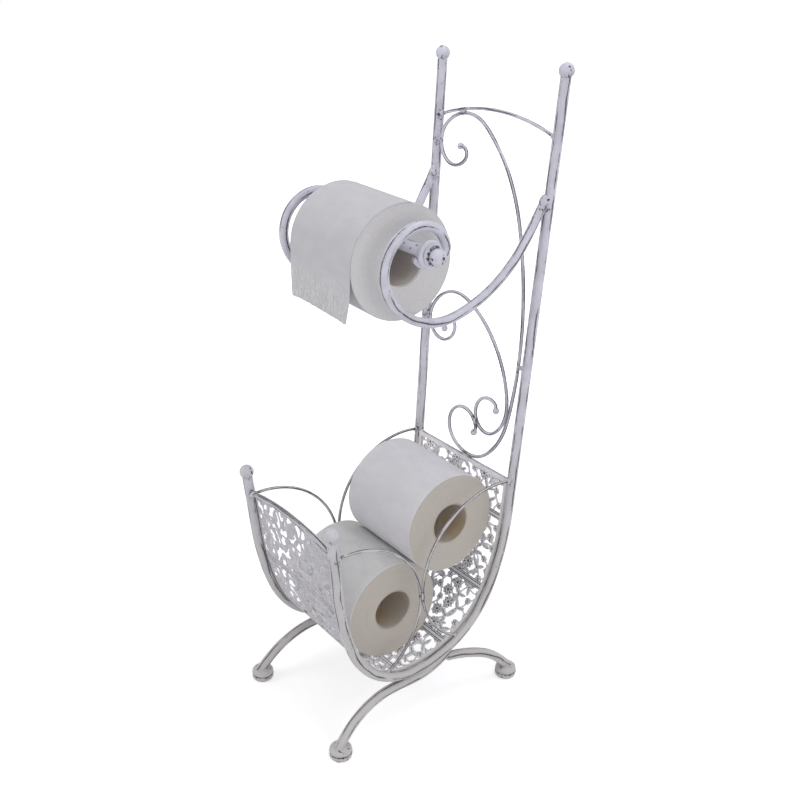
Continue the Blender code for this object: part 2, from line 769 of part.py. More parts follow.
def spindle(parent):
    middle = (0, SPINDLE_Y, spindle_z)
    rod_profile = ((0, rod_half), (SPINDLE_RADIUS, rod_half), (SPINDLE_RADIUS, -rod_half), (0, -rod_half))
    turned("spindle_rod", rod_profile, (1, 0, 0), TURNED_STEPS, PAINT, parent, middle)
    bore = SPINDLE_RADIUS + GAP
    half = DISC_THICKNESS / 2
    disc_profile = rim(DISC_RADIUS, DISC_EDGE, bore, half)
    dimple = math.asin(KNOB_DIMPLE_RADIUS / KNOB_RADIUS)
    neck = math.pi - math.asin(KNOB_NECK_RADIUS / KNOB_RADIUS)
    bulb = ball(KNOB_RADIUS, dimple, neck, BALL_STEPS // 2)
    base = collar_x - knob_x
    collar_top = base + KNOB_COLLAR_LENGTH
    socket_end = base + KNOB_SOCKET
    knob_profile = [(0, bulb[0][1] - KNOB_DIMPLE_DEPTH), *bulb,
                    (KNOB_COLLAR_RADIUS, collar_top - DISC_EDGE), (KNOB_COLLAR_RADIUS, base),
                    (bore, base), (bore, socket_end), (0, socket_end)]
    for label, side in SIDES:
        outwards = (side, 0, 0)
        turned("spindle_disc_" + label, disc_profile, outwards, TURNED_STEPS, PAINT, parent,
               (side * (disc_x + half), SPINDLE_Y, spindle_z), ring=True)
        turned("spindle_knob_" + label, knob_profile, outwards, TURNED_STEPS, PAINT, parent,
               (side * knob_x, SPINDLE_Y, spindle_z))


# rolls

paper_inner = CORE_INNER_RADIUS + CORE_WALL + GAP


def roll(label, centre, yaw_deg, parent):
    """A paper roll on its card core, turning about an axis of its own."""
    axis = (math.cos(math.radians(yaw_deg)), math.sin(math.radians(yaw_deg)), 0)
    pivot = axis_empty(label + "_axis", Vector(centre) - origin_of(parent), parent)
    half = ROLL_LENGTH / 2
    core_outer = CORE_INNER_RADIUS + CORE_WALL
    paper = rim(ROLL_RADIUS, ROLL_EDGE, paper_inner, half)
    core = ((core_outer, half), (core_outer, -half), (CORE_INNER_RADIUS, -half), (CORE_INNER_RADIUS, half))
    turned(label + "_paper", paper, axis, ROLL_STEPS, TISSUE, pivot, centre, ring=True)
    turned(label + "_core", core, axis, ROLL_STEPS, CARD, pivot, centre, ring=True)
    return pivot


# spare rolls: the lower one lies in the sheet, the upper one on it and against the sheet's rear

roll_rest = sheet_offset + SHEET_THICKNESS / 2 + GAP + CHORD_SAG + ROLL_RADIUS
seat_angle = math.radians(LOWER_ROLL_SEAT_DEG)
lower_roll = (np.array((HOOP_LOW_Y, HOOP_LOW_Z + HOOP_BEND))
              - (HOOP_BEND - roll_rest) * np.array((math.sin(seat_angle), math.cos(seat_angle))))
low_travel = hoop_travel[len(front_half) - 1]


def rolls_part(travel):
    """True where the upper roll, against the sheet's rear at a travel, would still overlap the lower."""
    return np.linalg.norm(beside_hoop(travel, roll_rest) - lower_roll) < 2 * ROLL_RADIUS + GAP


lower_roll_x = LOWER_ROLL_ROOM - (hoop_half(lower_roll[1]) - GUARD_RADIUS - ROLL_LENGTH / 2)
upper_roll = beside_hoop(largest(rolls_part, low_travel, hoop_travel[-1]), roll_rest)

# the main roll hangs on the spindle by its core, a little askew, so the core rests near both its ends

askew = math.radians(MAIN_ROLL_YAW_DEG)
core_play = CORE_INNER_RADIUS - SPINDLE_RADIUS - GAP
main_roll = (MAIN_ROLL_X, SPINDLE_Y,
             spindle_z - math.sqrt(core_play ** 2 - (ROLL_LENGTH / 2 * math.sin(askew)) ** 2))


def tail(parent):
    """The loose end of the paper: over the roll's top, down its front and straight on to a torn edge."""
    radius = ROLL_RADIUS + GAP + TAIL_THICKNESS / 2
    over = bent(radius * direction(math.radians(TAIL_START_DEG)), TAIL_START_DEG + UPRIGHT_DEG,
                [(radius, BACKWARDS_DEG - TAIL_START_DEG)])
    fall = [over[-1] - (TAIL_FLARE * share ** 2, TAIL_DROP * share) for share in TAIL_ROW_SHARES]
    line = np.vstack((over, fall))
    along = Vector((math.cos(askew), math.sin(askew), 0))
    back = Vector((-math.sin(askew), math.cos(askew), 0))
    half = ROLL_LENGTH / 2
    rows = [[Vector(main_roll) + along * share * half + back * float(y) + Vector((0, 0, z))
             for share in (-1, 1)] for y, z in line]
    plate("paper_tail", rows, set(), TAIL_THICKNESS, TISSUE, parent)


for label, side in SIDES:
    hoop(label, side)
    legs(label, side)
    guard("front_guard_" + label, -1, side)
    guard("rear_guard_" + label, 1, side)
    roll_arm(label, side)
cross_wires()
cradle_sheet()
tube("large_scroll", on_back(large_scroll), large_radii, RAIL_SIDES, PAINT, frame)
tube("small_scroll", on_back(small_scroll), small_radii, RAIL_SIDES, PAINT, frame)
spindle_axis = axis_empty("spindle_axis", (0, SPINDLE_Y, spindle_z), stand)
spindle(spindle_axis)
roll("main_roll", main_roll, MAIN_ROLL_YAW_DEG, spindle_axis)
tail(spindle_axis)
lower_axis = roll("lower_roll", (lower_roll_x, *lower_roll), 0, stand)
roll("upper_roll", (UPPER_ROLL_X, *upper_roll), 0, lower_axis)
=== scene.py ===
"""Looks of the freestanding toilet paper holder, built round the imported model.

Every wire's centre line is read from the rings of its CAD node, so each finer piece lies where the node
does. The pierced sheet, the paper and the loose tail are made here in full.
Metres, +Z up, front towards -Y.
"""
import json
import math

import bmesh
import bpy
import numpy as np
from mathutils import Matrix, Vector, noise

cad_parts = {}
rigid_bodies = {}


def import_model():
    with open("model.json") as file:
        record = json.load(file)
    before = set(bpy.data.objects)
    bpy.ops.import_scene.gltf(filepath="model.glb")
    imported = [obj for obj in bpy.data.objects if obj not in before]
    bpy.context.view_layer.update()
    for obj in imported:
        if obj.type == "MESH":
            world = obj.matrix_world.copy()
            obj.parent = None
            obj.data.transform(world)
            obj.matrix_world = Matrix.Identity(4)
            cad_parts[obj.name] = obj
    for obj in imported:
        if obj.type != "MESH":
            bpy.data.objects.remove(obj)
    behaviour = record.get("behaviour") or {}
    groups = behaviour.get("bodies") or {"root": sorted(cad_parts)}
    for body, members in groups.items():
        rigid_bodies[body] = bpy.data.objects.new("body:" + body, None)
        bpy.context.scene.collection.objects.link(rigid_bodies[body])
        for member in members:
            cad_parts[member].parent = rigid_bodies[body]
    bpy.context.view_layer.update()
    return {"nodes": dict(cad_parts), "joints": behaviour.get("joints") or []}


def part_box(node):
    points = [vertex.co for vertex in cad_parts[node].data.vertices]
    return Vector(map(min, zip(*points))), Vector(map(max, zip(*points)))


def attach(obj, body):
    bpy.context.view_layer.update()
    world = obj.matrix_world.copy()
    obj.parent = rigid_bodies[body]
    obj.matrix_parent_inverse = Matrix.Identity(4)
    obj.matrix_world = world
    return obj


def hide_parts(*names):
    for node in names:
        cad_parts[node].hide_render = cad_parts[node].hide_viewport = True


for item in list(bpy.data.objects):
    bpy.data.objects.remove(item)
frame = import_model()
SIDES = {"right": 1, "left": -1}
ENDS = ("front", "rear")

# reading the CAD wires
MERGE = 0.00001
STRAIGHT_RUN = 0.025            # a longer run between two rings is straight
HOOP_SIDES = 10
RAIL_SIDES = 8
WIRE_SIDES = 6

# finer wires
CURVE_STEP = 0.002
STRAIGHT_STEP = 0.008
TUBE_SIDES = 24
TUBE_FLATS = 6
FLAT_DEPTH_SHARE = 0.03
DOME_ANGLES_DEG = (35, 65, 84)
DOME_SHARE = 0.6
PATINA_REACH = 0.009            # how far round a weld the paint is worn
RIDGES = 4                      # rubbed lines round a wire
RIDGE_LINE = 0.00078            # half width of such a line
POST_GROWTH = 1.09              # a post and its finials look thicker than in the CAD
FINIAL_GROWTH = 1.05
LOW_PART = 0.15                 # the hoops' part under this height
LEG_TAPER = 0.046               # over this length a leg's end runs into the wire above it
LEG_TAPER_SHARE = 0.92
LEG_PULL = 0.53                 # how far its end is lifted towards that wire's middle
LEG_SINK = 0.003                # how far a leg runs on into its foot
ARM_SHORT = 0.003               # how far before the post's middle an arm ends
BEAD_FROM = 0.0023              # a scroll's rings over this radius belong to its bead
BEAD_RINGS = 12                 # a bead's middle is within so many points of the end
BEAD_RADIUS = 0.0036

# welds: half sizes along and across
WELDS = {
    "front_rail": (0.0034, 0.00323), "rear_rail": (0.0034, 0.00323), "top_arch": (0.0030, 0.00285),
    "arm": (0.0080, 0.0052), "arm_foot": (0.0066, 0.0048), "leg_crest": (0.0120, 0.0042),
    "guard_low": (0.0022, 0.0017), "guard_high": (0.0032, 0.0022), "guards": (0.0050, 0.0021),
    "scroll_right_post": (0.0052, 0.0024), "scroll_left_post": (0.0050, 0.0026),
    "small_scroll_post": (0.0046, 0.0026), "scrolls": (0.0042, 0.0025), "scroll_arch": (0.0052, 0.0022),
    "scroll_rail": (0.0052, 0.0024)}
CLEAN_WELDS = ("leg_crest", "guard_low")        # no worn paint round these
ARM_FOOT_SHIFT = (0, -0.001, -0.004)
SCROLL_WELD_Z = 0.372
LUMPS, SMOOTH_LUMPS = 0.14, 0.04
LUMP_SCALE, LUMP_SPREAD = 1.7, 900

# turned pieces; rows and steps of dirt run along a profile
FINIAL_NECK = ((0.0047, -0.0066, 0.8), (0.0048, -0.0082, 0.5), (0.0049, -0.0104, 0.2),
               (0.0047, -0.0125, 0.1))
FINIAL_DIRT = (0.0,) * 12 + (0.15, 0.25, 0.35, 0.45, 0.5, 0.5, 0.55, 0.7)
FOOT_TOP_EDGE = 0.0030
FOOT_LOW_EDGE = 0.0026
FOOT_GROOVE = ((0, 0.0080, 0.3), (0.0004, 0.0071, 0.8), (0.0016, 0.0066, 1.0), (0.0004, 0.0061, 0.9),
               (0, 0.0052, 0.4))                # depth, height and dirt
ROD_GROWTH = 1.09
ROD_ROWS = 60
ROD_WORN_AT, ROD_WORN_REACH = 0.083, 0.004      # where the arms rub the rod
DISC_EDGE_SHARE = 0.7
DISC_RIM = 0.004
KNOB_BALL_RADIUS = 0.0077
COLLAR_EDGE = 0.0009
KNOB_WAIST = ((0.0016, 0.0026, 0.9), (0.0031, 0.0031, 1.0), (0.0022, 0.0037, 1.0))
KNOB_DIRT = (0.8, 0.5, 0.2) + (0.05,) * 15 + (0.3, 0.9)
DENT_SHARE, DENT_SCALE = 0.012, 900

# pierced sheet
SEED = 11
SHEET_OFFSET = 0.0028
SHEET_REACH = 0.0042            # from a hoop's centre line in to the sheet's edge
SHEET_THICKNESS = 0.001
SHEET_BORDER = 0.0040
SHEET_BEND = 0.024              # so far from its front edge the sheet follows the rail's bow
SHEET_CELL = 0.0007
RIB_WIDTH = 0.0082
RIB_GROOVES = ((0.0020, 0.0006), (0.0039, 0.0004))     # distance from the rib's middle, and width
RIB_PLACE_SHARES = (0.157, 0.294, 0.434, 0.574, 0.728, 0.904)
OUTER_GRIME = 0.22              # the sheet's outer face is cleaner than its inner one
OUTER_RIB_GRIME = 0.95
OUTER_GAP_SHADOW = 0.0011             # from the edge in to the painted shadow line in the gap beside the hoop, and its width
RIM_WIDTH = 0.0008
MOTIF_PITCH = 0.0150
MOTIF_ROW_SHARE = 0.88
MOTIF_JITTER = 0.0017
MOTIF_MARGIN = 0.006
LINK_REACH_SHARE = 1.28
LINK_CHANCE = 0.66
LINK_LEAF_CHANCE = 0.30
LINK_LEAF_SIZE = 0.72
SPRAY_LEAVES = 3
SPRAY_TURN = 2.1
DAISY_RADIUS = 0.0075
DAISY_PETALS = 8
DAISY_EYE = 0.0014
SMALL_FLOWER_RADIUS = 0.0046
SMALL_FLOWER_PETALS = 5
LEAF_LENGTH = 0.0118
LEAF_WIDTH = 0.0050
VEIN_WIDTH = 0.0004
RUNG_PITCH = 0.0023
STEM_WIDTH = 0.0015
STEM_BULGE = 0.0032
RELIEF = 0.00035

# paper
CLEAR = 0.0001                  # between paper and paper, or paper and card
ROLL_EDGE = 0.0007
ROLL_STEPS = 180
ROLL_ROWS = 40
CORE_WALL = 0.0009
CARD_SHORT = 0.0004
CARD_STEPS = 96
CARD_ROWS = 24
EMBOSS_PITCH = 0.0021
CUT_PITCH = 0.0011
LAYER_PITCH = 0.0016
FACE_SINK = 0.00012
SEAM_ANGLE = 2.2
SEAM_WIDTH = 0.012
UNEVEN = 0.00012                # of a roll's outside
TAIL_THICKNESS = 0.0004
TAIL_START_DEG = 80.0
TAIL_DROP = 0.0465
TAIL_FLARE = 0.0012
TAIL_SLANT = 0.0026             # how much lower the tail hangs at its left side
TAIL_SAG = 0.0012
TAIL_BELLY, TAIL_WAVE = 0.0035, 0.0015
TAIL_ROW, TAIL_COLUMN = 0.0011, 0.0012
TEAR_DEPTH, TEAR_PITCH = 0.0003, 0.0042

# floor, light and camera; the camera is the photograph's fitted view and takes a square image
FLOOR_SIZE = 12.0
FLOOR_GLOW = 0.5
FLOOR_FADE = (0.35, 1.1)        # the glow takes over from the lamps between these distances
WORLD_STRENGTH = 0.50
CAMERA_PLACE = (0.80032, -0.59127, 0.77469)
CAMERA_AZIMUTH_DEG = 53.089
CAMERA_ELEVATION_DEG = 23.7198
CAMERA_ROLL_DEG = 0.4714
CAMERA_LENS = 48.442
SENSOR = 36.0


# node materials

class Value:
    """A node's output that can be reckoned with; each step adds a Math node."""

    def __init__(self, look, socket):
        self.look = look
        self.socket = socket

    def __add__(self, other):
        return self.look.math("ADD", self, other)

    def __sub__(self, other):
        return self.look.math("SUBTRACT", self, other)

    def __rsub__(self, other):
        return self.look.math("SUBTRACT", other, self)

    def __mul__(self, other):
        return self.look.math("MULTIPLY", self, other)

    def __truediv__(self, other):
        return self.look.math("DIVIDE", self, other)

    def __abs__(self):
        return self.look.math("ABSOLUTE", self)


class Look:
    """The node tree of a material or a world, with helpers that add nodes and link them."""

    def __init__(self, owner, shader="Principled BSDF"):
        owner.use_nodes = True
        self.owner = owner
        self.tree = owner.node_tree
        self.shader = self.tree.nodes[shader]

    def feed(self, socket, value):
        if isinstance(value, Value):
            self.tree.links.new(value.socket, socket)
        else:
            socket.default_value = (*value, 1.0) if socket.type == "RGBA" else value

    def add(self, kind, inputs, **settings):
        """A new node's outputs."""
        made = self.tree.nodes.new("ShaderNode" + kind)
        for key, value in settings.items():
            setattr(made, key, value)
        for key, value in inputs.items():
            self.feed(made.inputs[key], value)
        return made.outputs

    def value(self, output, kind, inputs, **settings):
        return Value(self, self.add(kind, inputs, **settings)[output])

    def math(self, operation, first, second=0.0, clamp=False):
        return self.value(0, "Math", {0: first, 1: second}, operation=operation, use_clamp=clamp)

    def highest(self, first, second):
        return self.math("MAXIMUM", first, second)

    def ramp(self, value, low, high):
        """0 below low, 1 above high and smooth between; low above high turns it round."""
        if low > high:
            return 1.0 - self.ramp(value, high, low)
        return self.value("Result", "MapRange", {"Value": value, "From Min": low, "From Max": high},
                          interpolation_type="SMOOTHSTEP")

    def noise(self, vector, scale=1.0, detail=3.0, roughness=0.55, distortion=0.0):
        return self.value("Fac", "TexNoise", {"Vector": vector, "Scale": scale, "Detail": detail,
                                              "Roughness": roughness, "Distortion": distortion})

    def scaled(self, vector, *factors):
        return self.value(0, "VectorMath", {0: vector, 1: factors}, operation="MULTIPLY")

    def split(self, vector):
        return [Value(self, output) for output in self.add("SeparateXYZ", {"Vector": vector})]

    def joined(self, x, y):
        return self.value(0, "CombineXYZ", {"X": x, "Y": y})

    def attribute(self, name, output="Fac"):
        return self.value(output, "Attribute", {}, attribute_name=name)

    def place(self):
        return self.value("Object", "TexCoord", {})

    def mix(self, factor, first, second):
        return self.value(2, "Mix", {0: factor, 6: first, 7: second}, data_type="RGBA")

    def blend(self, factor, first, second):
        return self.value(0, "Mix", {0: factor, 2: first, 3: second}, data_type="FLOAT")

    def bump(self, height, distance, **below):
        return self.value("Normal", "Bump", {"Height": height, "Distance": distance, **below})

    def seen_directly(self):
        """1 for the camera's rays and for mirrored and refracted ones."""
        rays = self.add("LightPath", {})
        camera, glossy, clear = (Value(self, rays[f"Is {kind} Ray"])
                                 for kind in ("Camera", "Glossy", "Transmission"))
        return self.highest(camera, self.highest(glossy, clear))

    def finish(self, **sockets):
        names = {"colour": "Base Color", "roughness": "Roughness", "normal": "Normal",
                 "specular": "Specular IOR Level", "sheen": "Sheen Weight", "glow_colour": "Emission Color",
                 "glow": "Emission Strength"}
        for key, value in sockets.items():
            self.feed(self.shader.inputs[names[key]], value)
        return self.owner


def new_look(name):
    return Look(bpy.data.materials.new(name))


PAINT_LIGHT = (0.715, 0.715, 0.825)
PAINT_DULL = (0.605, 0.60, 0.68)
PAINT_LOW_WARM_LIGHT = (0.585, 0.56, 0.535)      # painted warm light: the coat turns warmer towards the floor
METAL_DARK = (0.085, 0.075, 0.095)
# grey for worn grime near welds, and for painted shade beside the rubbed lines
GRIME_AND_SHADE = (0.24, 0.22, 0.26)
# one paint in two copies: darker on the outer face as painted shade, brighter on the inner face as painted
# light
SHEET_OUTER_PAINTED_SHADE = ((0.50, 0.485, 0.515), (0.62, 0.605, 0.65))
SHEET_INNER_PAINTED_LIGHT = ((0.83, 0.82, 0.84), (0.93, 0.92, 0.94))
SHEET_DARK = (0.085, 0.08, 0.09)
EMBOSS_SHADE = (0.50, 0.49, 0.51)
# painted light on the crumpled tail, and painted highlights on its fold ridges
CRUMPLE_PAINTED_LIGHT = (0.84, 0.835, 0.87)
CRUMPLE_PAINTED_HIGHLIGHT = (0.98, 0.98, 1.0)
CARD_AMBER = (0.56, 0.42, 0.24)
CARD_SEAM = (0.26, 0.21, 0.16)


def ridge_lines(look, ridges, place, height):
    """Thin broken lines where a wire's paint is rubbed through, and a soft grey of painted shade beside them.
    """
    along = look.attribute("along", "Vector")
    cosine, sine = look.split(along)[:2]
    sway = look.noise(look.scaled(along, 0.0, 0.0, 16.0), detail=2.0)
    turns = look.math("ARCTAN2", sine, cosine) * (ridges / (2 * math.pi)) + sway * 1.1
    away = abs(look.math("FRACT", turns) - 0.5) / look.attribute("ridge_share")
    ragged = (look.noise(place, 650.0, roughness=0.7) - 0.5) * 2.3
    full = look.noise(look.scaled(along, 0.9, 0.9, 24.0), roughness=0.6)
    full = full + look.ramp(height, 0.11, 0.03) * 0.05
    width = look.math("MULTIPLY", full - 0.425, 8.0, clamp=True)
    lines = look.ramp(width + ragged - away, -0.05, 0.30) * look.ramp(width, 0.0, 0.2)
    # the second value is painted shade: a soft grey beside the lines
    return lines, look.ramp(away, 4.5, 0.5) * (width * 0.26)


def antique_paint(name, ridges, pit_scale, pit_level):
    """Off-white paint rubbed through to dark metal: along a wire's ridges, in pits and at worn places."""
    look = new_look(name)
    patina = look.attribute("patina")
    place = look.place()
    height = look.split(place)[2]
    pits = look.ramp(look.noise(place, pit_scale, detail=2.0), pit_level, pit_level + 0.02)
    worn = look.ramp(look.noise(place, 330.0, detail=4.0, roughness=0.7) + patina * 0.31, 0.735, 0.79)
    chips = look.highest(pits, worn)
    # grey veil: worn grime near welds, and painted shade beside the rubbed lines
    grime_and_shade_veil = patina * 0.20
    if ridges:
        lines, soft = ridge_lines(look, ridges, place, height)
        chips = look.highest(chips, lines)
        grime_and_shade_veil = look.highest(grime_and_shade_veil, soft)
    tone = look.ramp(look.noise(place, 60.0, detail=4.0, roughness=0.6), 0.32, 0.70)
    coat = look.mix(tone, PAINT_DULL, PAINT_LIGHT)
    # painted warm light: the coat is mixed warmer the lower it lies
    coat = look.mix(look.ramp(height, 0.42, 0.10) * 0.80, coat, PAINT_LOW_WARM_LIGHT)
    coat = look.mix(grime_and_shade_veil, coat, GRIME_AND_SHADE)
    rough = look.blend(chips, look.blend(tone, 0.50, 0.40), 0.62)
    relief = look.noise(place, 260.0) * 0.35 - chips
    return look.finish(colour=look.mix(chips, coat, METAL_DARK), roughness=rough,
                       normal=look.bump(relief, 0.00022))


def sheet_paint():
    """The wires' paint on the pierced sheet: dark grime lies in the stamped grooves; the inner face gets a
    brighter coat as painted light and the outer face a darker one as painted shade.
    """
    look = new_look("sheet_paint")
    place = look.place()
    fine = look.noise(place, 520.0, detail=4.0, roughness=0.65)
    groove = look.ramp(look.attribute("patina") + (fine - 0.5) * 0.9, 0.42, 0.78)
    pits = look.ramp(look.noise(place, 300.0), 0.70, 0.75)
    tone = look.ramp(look.noise(place, 90.0, detail=4.0, roughness=0.6), 0.35, 0.66)
    # painted light and shade: the shaded inner face is given a brighter coat than the outer face
    coat = look.mix(look.attribute("inner"), look.mix(tone, *SHEET_OUTER_PAINTED_SHADE), look.mix(tone, *SHEET_INNER_PAINTED_LIGHT))
    dark = look.highest(groove, pits * 0.6)
    return look.finish(colour=look.mix(dark, coat, SHEET_DARK), roughness=look.blend(dark, 0.48, 0.66),
                       normal=look.bump(fine * 0.4 - dark, 0.00025))


def tissue(name, cool, warm):
    """Soft embossed paper; wrap holds metres round the roll, along its axis and out from its axis."""
    look = new_look(name)
    wrap = look.attribute("wrap", "Vector")
    around, along = look.split(wrap)[:2]
    waves = [look.math("SINE", way * (2 * math.pi / EMBOSS_PITCH)) for way in (around, along)]
    dots = look.ramp(waves[0] * waves[1], 0.25, 0.95)
    crepe = look.noise(look.scaled(wrap, 1400.0, 260.0, 900.0), roughness=0.6)
    cloud = look.noise(look.scaled(wrap, 70.0, 42.0, 42.0), detail=4.0, roughness=0.62)
    # the tail's crumple amount; it also drives the painted light and highlights below
    crumple = look.attribute("patina")
    slant = look.scaled(look.joined(around + along * 0.35, along), 95.0, 420.0, 1.0)
    folds = look.noise(slant, detail=4.0, roughness=0.62, distortion=0.6)
    ridge = look.ramp(abs(folds - 0.5), 0.085, 0.0)
    shade = look.mix(look.ramp(cloud, 0.34, 0.66), cool, warm)
    shade = look.mix(dots * 0.24, shade, EMBOSS_SHADE)
    # painted light: the crumpled tail is coloured lighter, with painted highlights along its fold ridges
    shade = look.mix(crumple * 0.55, shade, CRUMPLE_PAINTED_LIGHT)
    shade = look.mix(ridge * crumple * 0.95, shade, CRUMPLE_PAINTED_HIGHLIGHT)
    fine = look.bump(crepe * 0.6 - dots, 0.00036)
    return look.finish(colour=shade, roughness=0.95, specular=0.15, sheen=0.25,
                       normal=look.bump((ridge + folds) * crumple, 0.00035, Normal=fine))


def cut_paper(name, dark, light):
    """The end face of a wound roll: many cut layers between a dark and a light colour."""
    look = new_look(name)
    around, _, out = look.split(look.attribute("wrap", "Vector"))
    radius = out + look.noise(look.place(), 55.0) * 0.0016
    layers = look.math("SINE", radius * (2 * math.pi / CUT_PITCH))
    coarse = look.noise(look.joined(radius * 620.0, around * 9.0))
    fibres = look.noise(look.place(), 700.0, roughness=0.6)
    return look.finish(colour=look.mix(look.blend(0.75, coarse, fibres), dark, light), roughness=0.97,
                       specular=0.1, normal=look.bump(layers * 0.08 + fibres * 1.4, 0.0003))


def card(name, dark, light, stain):
    """Brown-grey board, wound with a slanting seam; stain is how strong its amber patches are."""
    look = new_look(name)
    around, along = look.split(look.attribute("wrap", "Vector"))[:2]
    seam = look.ramp(look.math("PINGPONG", around + along, 0.034), 0.0012, 0.0004)
    fibres = look.noise(look.scaled(look.place(), 1.0, 3.0, 3.0), 260.0, detail=5.0, roughness=0.7)
    amber = look.ramp(look.noise(look.place(), 34.0, detail=2.0), 0.50, 0.66)
    base = look.mix(amber * stain, look.mix(fibres, dark, light), CARD_AMBER)
    return look.finish(colour=look.mix(seam * 0.35, base, CARD_SEAM), roughness=0.9, specular=0.2,
                       normal=look.bump(fibres - seam, 0.00015))


WIRE_PAINT = antique_paint("antique_paint", RIDGES, 380.0, 0.73)
TURNED_PAINT = antique_paint("antique_paint_turned", 0, 180.0, 0.655)
SHEET_PAINT = sheet_paint()
TISSUE_COOL = tissue("tissue_cool", (0.765, 0.755, 0.795), (0.805, 0.795, 0.835))
TISSUE_MAIN = tissue("tissue_main", (0.675, 0.668, 0.705), (0.715, 0.708, 0.745))
TISSUE_WARM = tissue("tissue_warm", (0.75, 0.74, 0.745), (0.82, 0.815, 0.81))
CUT_COOL = cut_paper("cut_paper_cool", (0.60, 0.585, 0.585), (0.84, 0.83, 0.85))
# partly painted light: the spare rolls' end faces are darker and warmer than their outside, painted shade and
# warm bounce light over real cut layers
CUT_PAINTED_WARM_SHADE = cut_paper("cut_paper_painted_warm_shade", (0.50, 0.455, 0.41), (0.69, 0.645, 0.60))
CARD = card("card_board", (0.46, 0.405, 0.345), (0.62, 0.565, 0.50), 0.6)
# painted light: the main roll's core is made paler, standing in for light falling into its bore
CARD_PAINTED_LIGHT = card("card_painted_light", (0.60, 0.56, 0.53), (0.78, 0.74, 0.71), 0.15)


# pieces

def placed(name, data):
    item = bpy.data.objects.new(name, data)
    bpy.context.scene.collection.objects.link(item)
    return item


def piece(name, points, faces, looks, body, slot, replaced=(), values=None, face_looks=None):
    """A mesh piece on a body; replaced names the CAD nodes it stands for, values are kept per point."""
    shape = bpy.data.meshes.new(name)
    shape.from_pydata(np.asarray(points, float).tolist(), [], faces)
    for key, value in (values or {}).items():
        kind, field = ("FLOAT", "value") if np.ndim(value) == 1 else ("FLOAT_VECTOR", "vector")
        attribute = shape.attributes.new(key, kind, "POINT")
        attribute.data.foreach_set(field, np.asarray(value, np.float32).ravel())
    for look in looks:
        shape.materials.append(look)
    if face_looks is not None:
        shape.polygons.foreach_set("material_index", face_looks)
    shape.shade_smooth()
    shape.set_sharp_from_angle(angle=math.radians(38))
    shape.update()
    item = placed(name, shape)
    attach(item, body)
    if replaced:
        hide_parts(*replaced)
    return item


def per_point(*columns):
    """Three columns of values over a grid, as a row for each of its points."""
    return np.stack(np.broadcast_arrays(*columns), axis=-1).reshape(-1, 3)


def grid_faces(rows, columns, rows_meet=False, columns_meet=False):
    """Quads of a grid numbered row by row; where rows or columns meet, the last joins the first."""
    for row in range(rows if rows_meet else rows - 1):
        for column in range(columns if columns_meet else columns - 1):
            beyond, below = (column + 1) % columns, (row + 1) % rows
            yield (row * columns + column, row * columns + beyond,
                   below * columns + beyond, below * columns + column)


def two_sided(middle, normal, half, faces):
    """Points and faces of a thin sheet round its middle, with walls along its edges."""
    count = len(middle)
    edges = {(face[index - 1], face[index]) for face in faces for index in range(len(face))}
    walls = [(second + count, first + count, first, second) for first, second in edges
             if (second, first) not in edges]
    both = [face[::-1] for face in faces] + [[corner + count for corner in face] for face in faces]
    return np.concatenate((middle + normal * half, middle - normal * half)), both + walls


def middle_of(node):
    low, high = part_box(node)
    return np.array((low + high) / 2)


def reach_of(node, axis):
    low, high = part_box(node)
    return (high[axis] - low[axis]) / 2


def unit(vectors):
    return vectors / np.linalg.norm(vectors, axis=-1, keepdims=True)


def travelled(line):
    """Distances along a line from its start to each of its points."""
    return np.concatenate(((0.0,), np.cumsum(np.linalg.norm(np.diff(line, axis=0), axis=1))))


# centre lines of the CAD wires

def cap_ring(face, spots):
    """The points on the circle through a face's first three corners, in that face's plane."""
    first, second, third = (np.array(vert.co) for vert in face.verts[:3])
    one, two = second - first, third - first
    normal = np.cross(one, two)
    size = normal @ normal
    if size == 0:
        return []
    centre = first + (np.cross(normal, one) * (two @ two) + np.cross(two, normal) * (one @ one)) / (2 * size)
    radius = np.linalg.norm(first - centre)
    off_circle = np.abs(np.linalg.norm(spots - centre, axis=1) - radius)
    off_plane = np.abs((spots - first) @ normal) / math.sqrt(size)
    return np.nonzero((off_circle < MERGE) & (off_plane < MERGE))[0].tolist()


def cad_line(node, sides, even=False):
    """A CAD wire's centre line and radii, ring by ring from an end that is cut square.

    An even wire ends at its last whole ring, before the slanting cut at its other end.
    """
    work = bmesh.new()
    work.from_mesh(frame["nodes"][node].data)
    bmesh.ops.remove_doubles(work, verts=work.verts, dist=MERGE)
    work.verts.ensure_lookup_table()
    spots = np.array([vert.co for vert in work.verts])
    ring = next(found for found in (cap_ring(face, spots) for face in work.faces) if len(found) == sides)
    seen = set(ring)
    centres, radii = [], []
    while ring:
        centre = spots[ring].mean(axis=0)
        distances = np.linalg.norm(spots[ring] - centre, axis=1)
        if even and radii and (len(ring) != sides or np.ptp(distances) > 10 * MERGE):
            break
        centres.append(centre)
        radii.append(distances.mean())
        beyond = {edge.other_vert(work.verts[index]).index for index in ring
                  for edge in work.verts[index].link_edges} - seen
        seen |= beyond
        ring = sorted(beyond)
    work.free()
    return np.array(centres), np.array(radii)


